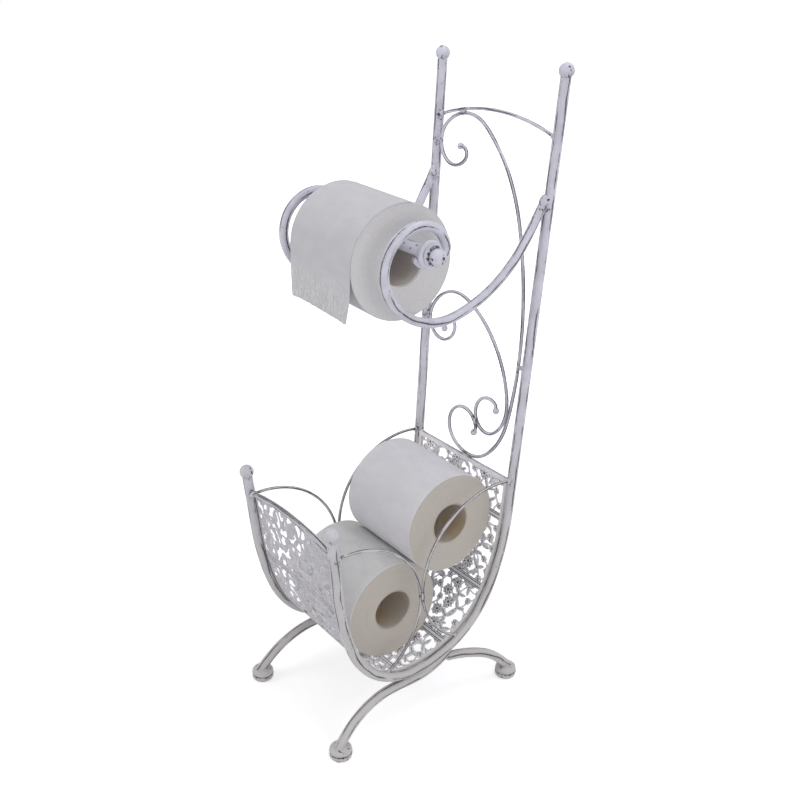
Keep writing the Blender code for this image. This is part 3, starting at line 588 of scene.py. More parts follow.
def finer(points, radii):
    """A smooth line through the points; between two far ones it stays straight."""
    runs = np.diff(points, axis=0)
    lengths = np.linalg.norm(runs, axis=1)
    slopes = unit(runs)
    tangents = np.zeros_like(points)
    for index in range(1, len(points) - 1):
        before, after = lengths[index - 1], lengths[index]
        if max(before, after) > STRAIGHT_RUN:
            tangents[index] = slopes[index - 1] if before > after else slopes[index]
        else:
            tangents[index] = (slopes[index - 1] * after + slopes[index] * before) / (before + after)
    for end, inner, run in ((0, 1, 0), (-1, -2, -1)):
        straight = lengths[run] > STRAIGHT_RUN or len(points) == 2
        tangents[end] = slopes[run] if straight else 2 * slopes[run] - tangents[inner]
    tangents = unit(tangents)
    line, widths = [points[0]], [radii[0]]
    for index, length in enumerate(lengths):
        count = max(1, math.ceil(length / (STRAIGHT_STEP if length > STRAIGHT_RUN else CURVE_STEP)))
        for step in range(1, count + 1):
            t = step / count
            line.append((2 * t ** 3 - 3 * t ** 2 + 1) * points[index]
                        + (3 * t ** 2 - 2 * t ** 3) * points[index + 1]
                        + length * ((t ** 3 - 2 * t ** 2 + t) * tangents[index]
                                    + (t ** 3 - t ** 2) * tangents[index + 1]))
            widths.append((1 - t) * radii[index] + t * radii[index + 1])
    return np.array(line), np.array(widths)


def closest(first, second):
    """The point midway between two lines where they come closest."""
    gaps = np.linalg.norm(first[:, None] - second[None], axis=2)
    one, two = np.unravel_index(gaps.argmin(), gaps.shape)
    return (first[one] + second[two]) / 2


def run_on(line, radii, axis, value, short=0.0):
    """Runs a line on straight until it reaches a value on an axis, or ends a little short of it."""
    outwards = unit(line[-1] - line[-2])
    length = (value - line[-1][axis]) / outwards[axis] - short
    return np.vstack((line, line[-1] + outwards * length)), np.append(radii, radii[-1])


def merged(line, radii, above):
    """Lifts a leg's first end into the wire above it, where the two are welded side by side."""
    above = above[above[:, 1].argsort()]
    share = np.clip(np.linalg.norm(line - line[0], axis=1) / LEG_TAPER, 0, 1)
    lift = np.interp(line[:, 1], above[:, 1], above[:, 2]) - line[:, 2]
    line = line + (LEG_PULL * (1 - share) ** 2 * lift)[:, None] * (0, 0, 1)
    return line, radii * (LEG_TAPER_SHARE + (1 - LEG_TAPER_SHARE) * share * (2 - share))


lines = {}
beads = {}
foot_top = 2 * reach_of("front_foot_right", 2)
for label in SIDES:
    for kind in ("side_hoop", "front_leg", "rear_leg", "roll_arm", "front_guard", "rear_guard"):
        sides = WIRE_SIDES if kind.endswith("guard") else HOOP_SIDES
        lines[f"{kind}_{label}"] = finer(*cad_line(f"{kind}_{label}", sides, kind.endswith(("leg", "arm"))))
    hoop_line, hoop_radii = lines[f"side_hoop_{label}"]
    lines[f"side_hoop_{label}"] = hoop_line, hoop_radii * POST_GROWTH
    above = hoop_line[hoop_line[:, 2] < LOW_PART]
    for end in ENDS:
        above, radii = merged(*lines[f"{end}_leg_{label}"], above)
        lines[f"{end}_leg_{label}"] = run_on(above, radii, 2, foot_top - LEG_SINK)
    line, radii = lines[f"roll_arm_{label}"]
    post_y = hoop_line[np.abs(hoop_line[:, 2] - line[-1][2]).argmin()][1]
    lines[f"roll_arm_{label}"] = run_on(line, radii, 1, post_y, ARM_SHORT)
for node, sides in (("front_rail", RAIL_SIDES), ("rear_rail", RAIL_SIDES), ("top_arch", WIRE_SIDES),
                    ("large_scroll", RAIL_SIDES), ("small_scroll", RAIL_SIDES)):
    line, radii = lines[node] = finer(*cad_line(node, sides))
    for end, run in (("first", slice(0, BEAD_RINGS)), ("last", slice(-BEAD_RINGS, None))):
        if node.endswith("scroll") and radii[run].max() > BEAD_FROM:
            beads[f"{node}_bead_{end}"] = line[run][radii[run].argmax()]


# welds, where the wires meet

def welds():
    """Rows of name, kind, place and direction."""
    line_of = {node: line for node, (line, radii) in lines.items()}

    def meeting(first, second):
        return closest(line_of[first], line_of[second])

    for label, side in SIDES.items():
        for node in ("front_rail", "rear_rail", "top_arch"):
            line = line_of[node]
            yield f"weld_{node}_{label}", node, line[(side * line[:, 0]).argmax()], line[0] - line[-1]
        arm, post = line_of[f"roll_arm_{label}"], line_of[f"side_hoop_{label}"]
        yield f"weld_arm_{label}", "arm", arm[-1], arm[-1] - arm[-6]
        yield (f"weld_arm_foot_{label}", "arm_foot", closest(arm[-12:], post) + np.array(ARM_FOOT_SHIFT),
               post[3] - post[0])
        for way in ENDS:
            guard = line_of[f"{way}_guard_{label}"]
            low, high = sorted((guard[0], guard[-1]), key=lambda end: end[2])
            yield f"weld_{way}_guard_{label}_low", "guard_low", low, (0, 1, 0.6)
            yield f"weld_{way}_guard_{label}_high", "guard_high", high, (0, 0, 1)
        yield (f"weld_guards_{label}", "guards", meeting("front_guard_" + label, "rear_guard_" + label),
               (0, 0, 1))
        yield (f"weld_leg_crest_{label}", "leg_crest", closest(post, line_of["front_leg_" + label][12:]),
               (0, 1, 0))
    scroll, post = line_of["large_scroll"], line_of["side_hoop_right"]
    gap = post[np.abs(post[:, 2] - SCROLL_WELD_Z).argmin()]
    beside = scroll[scroll[:, 0] > 0]
    beside = beside[np.abs(beside[:, 2] - SCROLL_WELD_Z).argmin()]
    yield "weld_scroll_right_post", "scroll_right_post", (gap + beside) / 2, gap - beside
    for kind, first, second, along in (("scroll_left_post", "large_scroll", "side_hoop_left", (0, 0, 1)),
                                       ("small_scroll_post", "small_scroll", "side_hoop_left", (0, 0, 1)),
                                       ("scrolls", "small_scroll", "large_scroll", (0, 0, 1)),
                                       ("scroll_arch", "large_scroll", "top_arch", (1, 0, 0)),
                                       ("scroll_rail", "large_scroll", "rear_rail", (1, 0, 0))):
        yield "weld_" + kind, kind, meeting(first, second), along


def weld(name, kind, at, along):
    """A lumpy bead of weld."""
    length, thickness = WELDS[kind]
    lumps = SMOOTH_LUMPS if kind == "leg_crest" else LUMPS
    worn = 0.0 if kind == "leg_crest" else 0.5 if kind.startswith("arm") else 0.15
    work = bmesh.new()
    bmesh.ops.create_icosphere(work, subdivisions=3, radius=1.0)
    turn = Vector(along).to_track_quat("X", "Z").to_matrix()
    points = []
    for vert in work.verts:
        lump = 1 + lumps * noise.noise(vert.co * LUMP_SCALE + Vector(at) * LUMP_SPREAD)
        local = Vector((vert.co.x * length, vert.co.y * thickness, vert.co.z * thickness)) * lump
        points.append(np.array(turn @ local) + at)
    faces = [[vert.index for vert in face.verts] for face in work.faces]
    work.free()
    piece(name, points, faces, [TURNED_PAINT], "frame", "paint",
          values={"patina": np.full(len(points), worn)})


# wires

def domed(line, radii):
    """Adds a rounded cap to both ends of a line."""
    line, radii = list(line), list(radii)
    for _ in range(2):
        line, radii = line[::-1], radii[::-1]
        end, radius = line[-1], radii[-1]
        outwards = unit(end - line[-2])
        for angle in np.radians(DOME_ANGLES_DEG):
            line.append(end + outwards * DOME_SHARE * radius * math.sin(angle))
            radii.append(radius * math.cos(angle))
    return np.array(line), np.array(radii)


def wear(points, worn_at):
    """1 at the worn places, falling to 0 away from them."""
    worn = np.zeros(len(points))
    for spot in worn_at:
        distance = np.linalg.norm(points - np.asarray(spot), axis=1)
        worn = np.maximum(worn, np.exp(-(distance / PATINA_REACH) ** 2))
    return worn


def tube(node, line, radii, worn_at):
    """A wire with soft flats and domed ends along a line; the paint is worn near the points worn_at."""
    line, radii = domed(line, radii)
    along = unit(np.gradient(line, axis=0))
    square = np.linalg.svd(line - line.mean(axis=0))[2][-1]
    beside = unit(square - (along @ square)[:, None] * along)
    across = np.cross(along, beside)
    angles = np.linspace(0, 2 * math.pi, TUBE_SIDES, endpoint=False)
    section = 1 + FLAT_DEPTH_SHARE * np.cos(TUBE_FLATS * angles)
    rings = (line[:, None] + (radii[:, None] * section)[..., None]
             * (np.cos(angles)[:, None] * beside[:, None] + np.sin(angles)[:, None] * across[:, None]))
    points = rings.reshape(-1, 3)
    count = len(line)
    faces = [*grid_faces(count, TUBE_SIDES, columns_meet=True), tuple(range(TUBE_SIDES))[::-1],
             tuple(range((count - 1) * TUBE_SIDES, count * TUBE_SIDES))]
    own_start = line[0] @ np.array((3.1, 5.7, 1.3))     # no two wires have the same lines
    spread = per_point(np.cos(angles), np.sin(angles), (travelled(line) + own_start)[:, None])
    piece(node + "_wire", points, faces, [WIRE_PAINT], "frame", "paint", [node],
          {"along": spread, "patina": wear(points, worn_at),
           "ridge_share": np.repeat(RIDGE_LINE * RIDGES / (2 * math.pi * radii), TUBE_SIDES)})


weld_rows = list(welds())
worn_spots = [at for _, kind, at, _ in weld_rows if kind not in CLEAN_WELDS]
worn_spots += [middle_of(f"{end}_finial_{label}") for label in SIDES for end in ENDS]
for row in weld_rows:
    weld(*row)
for node, (line, radii) in lines.items():
    tube(node, line, radii, worn_spots)


# turned pieces: beads, finials, feet and the spindle

def turned(name, profile, centre, axis, steps, replaced=(), body="frame", slot="paint",
           looks=(TURNED_PAINT,), look_rows=None, sway=None):
    """A profile of (radius, height, dirt) turned about an axis; a closed profile makes a ring."""
    profile = np.array([(*row, 0.0)[:3] for row in profile])
    closed = np.allclose(profile[0, :2], profile[-1, :2])
    if closed:
        profile = profile[:-1]
    rows = len(profile)
    angles = np.linspace(0, 2 * math.pi, steps, endpoint=False)
    radius, height, dirt = (np.repeat(column[:, None], steps, axis=1) for column in profile.T)
    if sway is not None:
        radius = radius + sway(angles[None], height, radius)
    local = per_point(radius * np.cos(angles), radius * np.sin(angles), height)
    turn = np.array(Vector(axis).to_track_quat("Z", "Y").to_matrix())
    around = angles * profile[:, 0].max()
    faces = [(face[0], *face[:0:-1]) for face in grid_faces(rows, steps, closed, True)]
    if not closed:
        faces += [tuple(range(steps)), tuple(range((rows - 1) * steps, rows * steps))[::-1]]
    piece(name, local @ turn.T + np.asarray(centre), faces, looks, body, slot, replaced,
          {"wrap": per_point(around, height, radius), "patina": dirt.ravel()},
          None if look_rows is None else np.repeat(look_rows, steps))


def arc(radius, first_deg, last_deg, steps, height=0.0, outwards=0.0, dirt=0.0):
    """Profile rows on a ball or a rounded edge; angles are counted from the top."""
    angles = np.radians(np.linspace(first_deg, last_deg, steps))
    return [(outwards + radius * math.sin(angle), height + radius * math.cos(angle), share)
            for angle, share in zip(angles, np.broadcast_to(dirt, steps))]


def dented(angle, height, radius):
    return DENT_SHARE * radius * np.sin(3 * angle + height * DENT_SCALE) * np.cos(2 * angle + 1)


for name, at in beads.items():
    turned(name, arc(BEAD_RADIUS, 4, 176, 15, dirt=0.15), at, (1, 0, 0), 28, sway=dented)

FINIAL_RADIUS = reach_of("rear_finial_right", 0) * FINIAL_GROWTH
FOOT_RADIUS = reach_of("front_foot_right", 0)
finial_profile = [*arc(FINIAL_RADIUS, 4, 138, 20, dirt=FINIAL_DIRT), *FINIAL_NECK]
foot_profile = [(0.0015, foot_top + 0.0009, 0.7), (0.0050, foot_top + 0.0007, 0.5),
                *arc(FOOT_TOP_EDGE, 5, 75, 6, foot_top - 0.0035, FOOT_RADIUS - 0.0034, dirt=0.12),
                *((FOOT_RADIUS - depth, height, dirt) for depth, height, dirt in FOOT_GROOVE),
                *arc(FOOT_LOW_EDGE, 100, 178, 6, FOOT_LOW_EDGE, FOOT_RADIUS - 0.0030, dirt=0.3),
                (0.0015, 0.0, 0.3)]
for label in SIDES:
    for end in ENDS:
        line = lines[f"side_hoop_{label}"][0]
        if (line[0][2] > line[-1][2]) == (end == "rear"):
            line = line[::-1]
        finial = f"{end}_finial_{label}"
        turned(finial + "_ball", finial_profile, middle_of(finial), line[-1] - line[-2], 40, [finial],
               sway=dented)
for label in SIDES:
    for end in ENDS:
        foot = f"{end}_foot_{label}"
        turned(foot + "_bun", foot_profile, middle_of(foot) * (1, 1, 0), (0, 0, 1), 48, [foot], sway=dented)

DISC_RADIUS = reach_of("spindle_disc_right", 1)
DISC_HALF = reach_of("spindle_disc_right", 0)
ROD_RADIUS = reach_of("spindle_rod", 1)
ROD_HALF = reach_of("spindle_rod", 0)
KNOB_HALF = reach_of("spindle_knob_right", 0)
COLLAR_RADIUS = reach_of("spindle_knob_right", 1)


def rod_profile():
    for height in np.linspace(-ROD_HALF, ROD_HALF, ROD_ROWS):
        worn = abs(abs(height) - ROD_WORN_AT) < ROD_WORN_REACH
        yield ROD_RADIUS * ROD_GROWTH, height, 0.5 if worn else 0.0


def disc_profile():
    edge = DISC_HALF * DISC_EDGE_SHARE
    bore, rim = ROD_RADIUS + 0.0002, DISC_RADIUS - DISC_RIM
    return [(bore, DISC_HALF, 0.4), (rim, DISC_HALF), *arc(edge, 5, 175, 9, 0, DISC_RADIUS - edge),
            (rim, -DISC_HALF), (bore, -DISC_HALF, 0.4), (bore, DISC_HALF)]


def knob_profile():
    """A stepped collar, a grimy waist and a ball with a dimple at its end."""
    ball_height = KNOB_HALF + 0.0001 - KNOB_BALL_RADIUS
    collar = COLLAR_RADIUS - COLLAR_EDGE
    return [(ROD_RADIUS - 0.0002, -KNOB_HALF, 0.3), (collar, -KNOB_HALF, 0.3),
            *arc(COLLAR_EDGE, 100, 15, 5, 0.0011 - KNOB_HALF, collar, dirt=(0.15, 0.15, 0.15, 0.15, 0.5)),
            *((COLLAR_RADIUS - depth, height - KNOB_HALF, dirt) for depth, height, dirt in KNOB_WAIST),
            *arc(KNOB_BALL_RADIUS, 128, 12, 20, ball_height, dirt=KNOB_DIRT),
            (0.0010, ball_height + KNOB_BALL_RADIUS - 0.0013, 1.0)]


def spindle_part(node, profile, side, steps, sway=None):
    turned(node + "_turned", profile, middle_of(node), (side, 0, 0), steps, [node], "spindle", sway=sway)


spindle_part("spindle_rod", rod_profile(), 1, 40)
for label, side in SIDES.items():
    spindle_part("spindle_disc_" + label, disc_profile(), side, 64)
    spindle_part("spindle_knob_" + label, knob_profile(), side, 56, dented)


# rolls of paper

roll_axis = next(np.array(joint["axis"], float) for joint in frame["joints"]
                 if joint["name"] == "main_roll_spin")
CORE_INNER = reach_of("lower_roll_core", 1) - CORE_WALL
PAPER_RADIUS = reach_of("lower_roll_paper", 1)
PAPER_HALF = reach_of("lower_roll_paper", 0)


def paper_sway(phase):
    """Slight unevenness of the outer turns; the ends and the bore keep nearly true."""
    def sway(angle, height, radius):
        share = np.clip((radius - CORE_INNER) / (PAPER_RADIUS - CORE_INNER), 0, 1) ** 3
        wave = (0.45 * np.sin(2 * angle + phase) + 0.25 * np.sin(5 * angle - phase + 30 * height)
                + 0.2 * np.sin(11 * angle + 70 * height + phase))
        past_seam = np.angle(np.exp(1j * (angle - SEAM_ANGLE + 0.06 * np.sin(150 * height))))
        return -UNEVEN * share * (1 + wave - np.exp(-(past_seam / SEAM_WIDTH) ** 2))
    return sway


def roll(label, look, cut_look, card_look, axis, phase):
    """A wound roll with rounded ends and cut layers on its card core."""
    centre = middle_of(label + "_paper")
    edge_radius, edge_height = PAPER_RADIUS - ROLL_EDGE, PAPER_HALF - ROLL_EDGE
    top = arc(ROLL_EDGE, 8, 82, 5, edge_height, edge_radius)
    outer = [(PAPER_RADIUS, height) for height in np.linspace(edge_height, -edge_height, ROLL_ROWS)]
    low = arc(ROLL_EDGE, 98, 172, 5, -edge_height, edge_radius)
    bore = CORE_INNER + CORE_WALL + CLEAR
    layer_count = round((edge_radius - bore) / LAYER_PITCH)
    layers = np.linspace(bore, edge_radius - 0.0002, layer_count)
    ripple = [0.00007 * math.sin(index * 2.1 + phase) + 0.00005 * math.sin(index * 5.3)
              for index in range(layer_count)]
    top_face = [(radius, PAPER_HALF - FACE_SINK + rise) for radius, rise in zip(layers, ripple)]
    low_face = [(radius, FACE_SINK - PAPER_HALF - rise) for radius, rise in zip(layers[::-1], ripple)]
    kinds = [1] * len(top_face) + [0] * (len(top) + len(outer) + len(low) - 1) + [1] * (len(low_face) + 1)
    profile = [*top_face, *top, *outer, *low, *low_face, top_face[0]]
    turned(label + "_wound", profile, centre, axis, ROLL_STEPS, [label + "_paper"], label, "tissue",
           [look, cut_look], kinds, paper_sway(phase))
    card_half = PAPER_HALF - CARD_SHORT
    outside = CORE_INNER + CORE_WALL
    inside = [(CORE_INNER, height) for height in np.linspace(-card_half, card_half, CARD_ROWS)]
    turned(label + "_card", [(outside, card_half), (outside, -card_half), *inside, (outside, card_half)],
           centre, axis, CARD_STEPS, [label + "_core"], label, "card", [card_look],
           sway=lambda angle, height, radius: 0.0004 * np.sin(2 * angle + phase) + 0.0001 * np.sin(9 * angle))


roll("main_roll", TISSUE_MAIN, CUT_COOL, CARD_PAINTED_LIGHT, roll_axis, 0.4)
roll("lower_roll", TISSUE_WARM, CUT_PAINTED_WARM_SHADE, CARD, (1, 0, 0), 1.9)
roll("upper_roll", TISSUE_COOL, CUT_PAINTED_WARM_SHADE, CARD, (1, 0, 0), 3.3)


# the loose tail of the main roll

def crinkles(across, fall):
    """Crossing waves of three sizes, over -1 to 1 across and over metres down the tail."""
    return (0.00035 * np.sin(23 * across + 3.1 * np.sin(fall * 95)) * np.sin(fall * 130 + 5 * across)
            + 0.00018 * np.sin(47 * across - fall * 190) + 0.00012 * np.sin(83 * across + fall * 120))


def tail():
    """A thin sheet over the roll's top and down its front, with crinkles towards its torn edge."""
    along = unit(roll_axis)
    back = np.array((-along[1], along[0], 0.0))
    radius = PAPER_RADIUS + CLEAR + TAIL_THICKNESS / 2
    start = math.radians(TAIL_START_DEG)
    wound = radius * (math.pi - start)
    length = wound + TAIL_DROP
    travel = np.linspace(0, length, round(length / TAIL_ROW) + 1)[:, None]
    across = np.linspace(-1, 1, round(2 * PAPER_HALF / TAIL_COLUMN) + 1)[None]
    fall = np.clip(travel - wound, 0, None)
    share = fall / TAIL_DROP
    angle = start + np.minimum(travel, wound) / radius
    out = np.where(fall > 0, -radius - TAIL_FLARE * share ** 2, radius * np.cos(angle))
    belly = (TAIL_BELLY * (across * 0.5 + 0.5) ** 5 + TAIL_WAVE * np.sin(2.4 * across + 0.6)) * share ** 2
    out = out - share ** 1.3 * (crinkles(across, fall) + belly)
    out = out - 0.0002 * np.clip((travel - 0.6 * wound) / wound, 0, 1)
    tear = TEAR_DEPTH * (np.sin(across * PAPER_HALF * 2 * math.pi / TEAR_PITCH) > 0) * (travel == length)
    up = (np.where(fall > 0, -fall, radius * np.sin(angle)) + tear - TAIL_SAG * share * across ** 2
          - TAIL_SLANT * share * (1 - across) / 2)
    edge = PAPER_HALF * across * (1 - 0.004 * share)
    middle = (middle_of("main_roll_paper") + edge[..., None] * along + out[..., None] * back
              + up[..., None] * np.array((0, 0, 1.0)))
    normal = unit(np.cross(np.gradient(middle, axis=1), np.gradient(middle, axis=0)))
    quads = [quad[::-1] for quad in grid_faces(*middle.shape[:2])]
    points, faces = two_sided(middle.reshape(-1, 3), normal.reshape(-1, 3), TAIL_THICKNESS / 2, quads)
    wrap = np.tile(per_point(travel, edge, PAPER_RADIUS), (2, 1))
    crumple = np.broadcast_to(np.clip((share - 0.15) / 0.6, 0, 1), middle.shape[:2]).ravel()
    made = piece("paper_tail_sheet", points, faces, [TISSUE_MAIN], "spindle", "tissue", ["paper_tail"],
                 {"wrap": wrap, "patina": np.tile(crumple, 2)})


tail()


# the pierced sheet: a generic lattice of daisies, leaves and stems between plain borders and ribs

hoop = lines["side_hoop_right"][0]
if hoop[0][2] > hoop[-1][2]:
    hoop = hoop[::-1]
hoop_travel = travelled(hoop[:, 1:])
hoop_along = unit(np.gradient(hoop[:, 1:], axis=0))


def on_sheet(travel):
    """(y, z), the inward direction and the sheet's half width at distances along the hoop."""
    y, z, half, along_y, along_z = (np.interp(travel, hoop_travel, column) for column in
                                    (hoop[:, 1], hoop[:, 2], hoop[:, 0], hoop_along[:, 0], hoop_along[:, 1]))
    inward = unit(np.stack((-along_z, along_y), axis=-1))
    offset = SHEET_OFFSET * inward
    return y + offset[..., 0], z + offset[..., 1], inward, half - SHEET_REACH


class Stamp:
    """The sheet's flat pattern on a grid: metal where field is over 0, with relief and grime.

    s runs along the hoop and x across the sheet. lines holds the dark lines of the outer face: the rib
    grooves and a painted shadow line beside the hoop.
    """

    def __init__(self, start, end):
        self.start, self.end = start, end
        self.middle_half = on_sheet(start)[3]
        rows = np.linspace(0, 1, round((end - start) / SHEET_CELL) + 1)[:, None]
        self.travel = start + rows * (end - start)
        self.share = np.linspace(-1, 1, round(2 * self.middle_half / SHEET_CELL) + 1)[None]
        self.half = on_sheet(self.travel)[3]
        self.x = self.share * self.half
        self.s = np.broadcast_to(self.travel, self.x.shape)
        self.field = np.full(self.x.shape, -1.0)
        self.relief, self.grime, self.lines = (np.zeros(self.x.shape) for _ in range(3))

    def window(self, s, x, reach):
        first, last = np.searchsorted(self.travel[:, 0], (s - reach, s + reach))
        left, right = np.searchsorted(self.x[min(first, len(self.x) - 1)], (x - reach, x + reach))
        return slice(first, last), slice(left, right)

    def add(self, inside, relief, grime, window=(slice(None), slice(None))):
        """Lays a form over what is there; inside is its distance in from its edge."""
        over = inside > 0
        self.relief[window] = np.where(over, relief, self.relief[window])
        self.grime[window] = np.where(over, grime, self.grime[window])
        self.field[window] = np.maximum(self.field[window], inside)

    def flower(self, s, x, radius, petals, turn):
        window = self.window(s, x, radius * 1.1)
        ds, dx = self.s[window] - s, self.x[window] - x
        r = np.hypot(ds, dx)
        petal = np.abs(np.cos(petals / 2 * (np.arctan2(dx, ds) - turn)))
        inside = radius * (0.58 + 0.42 * petal ** 0.55) - r
        crown = RELIEF * (0.4 + 0.9 * petal * np.sin(np.clip(r / radius, 0, 1) * math.pi))
        eye = r < DAISY_EYE * radius / DAISY_RADIUS
        grime = np.clip(1.5 * (1 - petal) ** 1.3 * (r / radius + 0.35), 0, 1)
        self.add(inside, np.where(eye, -0.6 * RELIEF, crown), np.where(eye, 1.0, grime), window)

    def leaf(self, s, x, angle, size):
        length, width = LEAF_LENGTH * size, LEAF_WIDTH * size
        window = self.window(s, x, length * 1.1)
        ds, dx = self.s[window] - s, self.x[window] - x
        along = (ds * math.cos(angle) + dx * math.sin(angle)) / length
        beside = np.abs(dx * math.cos(angle) - ds * math.sin(angle))
        half = width / 2 * np.sin(math.pi * np.clip(along, 0, 1) ** 0.8) ** 0.75
        inside = np.where((along > 0) & (along < 1), half - beside, -0.001)
        vein = np.exp(-(beside / VEIN_WIDTH) ** 2)
        rungs = np.cos((along * length - beside) * 2 * math.pi / RUNG_PITCH) > 0.55
        grime = np.maximum(0.9 * vein, 0.55 * rungs * (beside < half * 0.85))
        self.add(inside, RELIEF * (1 - 0.8 * vein), np.clip(grime, 0, 1), window)

    def stem(self, first, last, bulge):
        """A curved stem between two points (s, x); returns its middle and its direction there."""
        first, last = np.array(first), np.array(last)
        side = np.array((first[1] - last[1], last[0] - first[0]))
        middle = (first + last) / 2
        control = middle + side / max(np.linalg.norm(side), 1e-9) * bulge * 2
        window = self.window(*middle, np.linalg.norm(last - first) / 2 + abs(bulge) + STEM_WIDTH)
        ds, dx = self.s[window], self.x[window]
        t = np.linspace(0, 1, 13)[:, None]
        path = (1 - t) ** 2 * first + 2 * t * (1 - t) * control + t ** 2 * last
        away = np.full(ds.shape, 1.0)
        for one, run in zip(path, np.diff(path, axis=0)):
            share = np.clip(((ds - one[0]) * run[0] + (dx - one[1]) * run[1]) / (run @ run), 0, 1)
            away = np.minimum(away, np.hypot(ds - one[0] - share * run[0], dx - one[1] - share * run[1]))
        share = away / (STEM_WIDTH / 2)
        self.add(STEM_WIDTH / 2 - away, RELIEF * (1 - share ** 2), 0.5 * np.clip(share, 0, 1) ** 3, window)
        return path[6], math.atan2(path[7][1] - path[5][1], path[7][0] - path[5][0])

    def rib(self, at):
        away = np.abs(self.s - at)
        groove = sum(np.exp(-((away - place) / width) ** 2) for place, width in RIB_GROOVES)
        self.add(RIB_WIDTH / 2 - away, RELIEF * (1.4 - 1.8 * groove), 1.1 * groove)
        self.lines = np.maximum(self.lines, np.where(away < RIB_WIDTH / 2, OUTER_RIB_GRIME * groove, 0))

    def border(self):
        edge = np.minimum(self.half - np.abs(self.x), np.minimum(self.s - self.start, self.end - self.s))
        self.add(SHEET_BORDER - edge, RELIEF * 0.4, 0.5 * np.exp(-(edge / RIM_WIDTH) ** 2))
        # a painted shadow line on the outer face, in the gap beside the hoop
        self.lines = np.maximum(self.lines, 1.1 * np.exp(-((edge - OUTER_GAP_SHADOW) / OUTER_GAP_SHADOW) ** 2))


def motif_places(start, end, half, random):
    """Places of the flowers and leaf sprays, in a jittered lattice of staggered rows, and their kinds."""
    rows = round((end - start) / (MOTIF_PITCH * MOTIF_ROW_SHARE))
    places = []
    for row in range(rows + 1):
        s = start + (end - start) * row / rows
        count = round(2 * half / MOTIF_PITCH) + row % 2
        for column in range(count):
            x = -half + 2 * half * (column + 0.5 * (1 - row % 2)) / max(1, count - row % 2)
            jitter = random.uniform(-MOTIF_JITTER, MOTIF_JITTER, 2)
            places.append((s + jitter[0], x + jitter[1], (row + 2 * column + row // 2) % 3))
    return places


def add_stems(stamp, places, random):
    """Stems between neighbours, some with a leaf."""
    for index, (s, x, _) in enumerate(places):
        for other_s, other_x, _ in places[index + 1:]:
            if math.hypot(other_s - s, other_x - x) > MOTIF_PITCH * LINK_REACH_SHARE:
                continue
            bulge = random.choice((-1, 1)) * STEM_BULGE * random.uniform(0.4, 1.1)
            linked, leafy = random.random(2) < (LINK_CHANCE, LINK_LEAF_CHANCE)
            lean = random.choice((-1, 1)) * random.uniform(0.6, 1.1)
            if linked:
                middle, angle = stamp.stem((s, x), (other_s, other_x), bulge)
                if leafy:
                    stamp.leaf(*middle, angle + lean, LINK_LEAF_SIZE)


def add_motifs(stamp, places, random):
    """Sprays of leaves, then the daisies and small flowers over them."""
    for s, x, kind in places:
        turn = random.uniform(0, math.pi)
        if kind == 2:
            for spray in range(SPRAY_LEAVES):
                angle = turn + spray * SPRAY_TURN + random.uniform(-0.25, 0.25)
                stamp.leaf(s, x, angle, random.uniform(0.82, 1.0))
    for s, x, kind in places:
        turn = random.uniform(0, math.pi)
        if kind == 0:
            stamp.flower(s, x, DAISY_RADIUS * random.uniform(0.92, 1.04), DAISY_PETALS, turn)
        elif kind == 1:
            stamp.flower(s, x, SMALL_FLOWER_RADIUS * random.uniform(0.9, 1.1), SMALL_FLOWER_PETALS, turn)


def sheet_pattern():
    """The whole stamp, from the front rail round the hoop to the rear rail."""
    rail_radius = lines["rear_rail"][1][0]
    front_z = lines["front_rail"][0][:, 2].min() + rail_radius
    rear_z = lines["rear_rail"][0][0][2] + rail_radius
    low = hoop[:, 2].argmin()
    start = np.interp(-front_z, -hoop[:low, 2], hoop_travel[:low])
    end = np.interp(rear_z, hoop[low:, 2], hoop_travel[low:])
    stamp = Stamp(start, end)
    random = np.random.default_rng(SEED)
    places = motif_places(start + MOTIF_MARGIN, end - MOTIF_MARGIN, stamp.middle_half - MOTIF_MARGIN, random)
    add_stems(stamp, places, random)
    add_motifs(stamp, places, random)
    for share in RIB_PLACE_SHARES:
        stamp.rib(start + share * (end - start))
    stamp.border()
    return stamp


def cells_inside(field):
    """Faces of a grid inside a field's zero line, and where on the grid their corners lie."""
    inside = field > 0
    keys = {}
    spots = []
    faces = []

    def corner(first, second=None):
        key = first if second is None else (min(first, second), max(first, second))
        if key not in keys:
            keys[key] = len(spots)
            if second is None:
                spots.append(first)
            else:
                one, two = field[first], field[second]
                share = min(max(one / (one - two), 0.04), 0.96)
                spots.append(tuple(a + share * (b - a) for a, b in zip(first, second)))
        return keys[key]

    for row in range(field.shape[0] - 1):
        for column in range(field.shape[1] - 1):
            corners = ((row, column), (row, column + 1), (row + 1, column + 1), (row + 1, column))
            flags = [inside[at] for at in corners]
            if not any(flags):
                continue
            face = []
            for index, at in enumerate(corners):
                after = corners[(index + 1) % 4]
                if flags[index]:
                    face.append(corner(at))
                if flags[index] != flags[(index + 1) % 4]:
                    face.append(corner(at, after) if flags[index] else corner(after, at))
            faces.append(face)
    return np.array(spots, float), faces


def between(values, spots):
    """Values of a grid at places between its points."""
    low = np.minimum(np.floor(spots).astype(int), np.array(values.shape) - 2)
    row, column = low.T
    down, right = (spots - low).T
    here, below = (values[at, column] * (1 - right) + values[at, column + 1] * right
                   for at in (row, row + 1))
    return here * (1 - down) + below * down


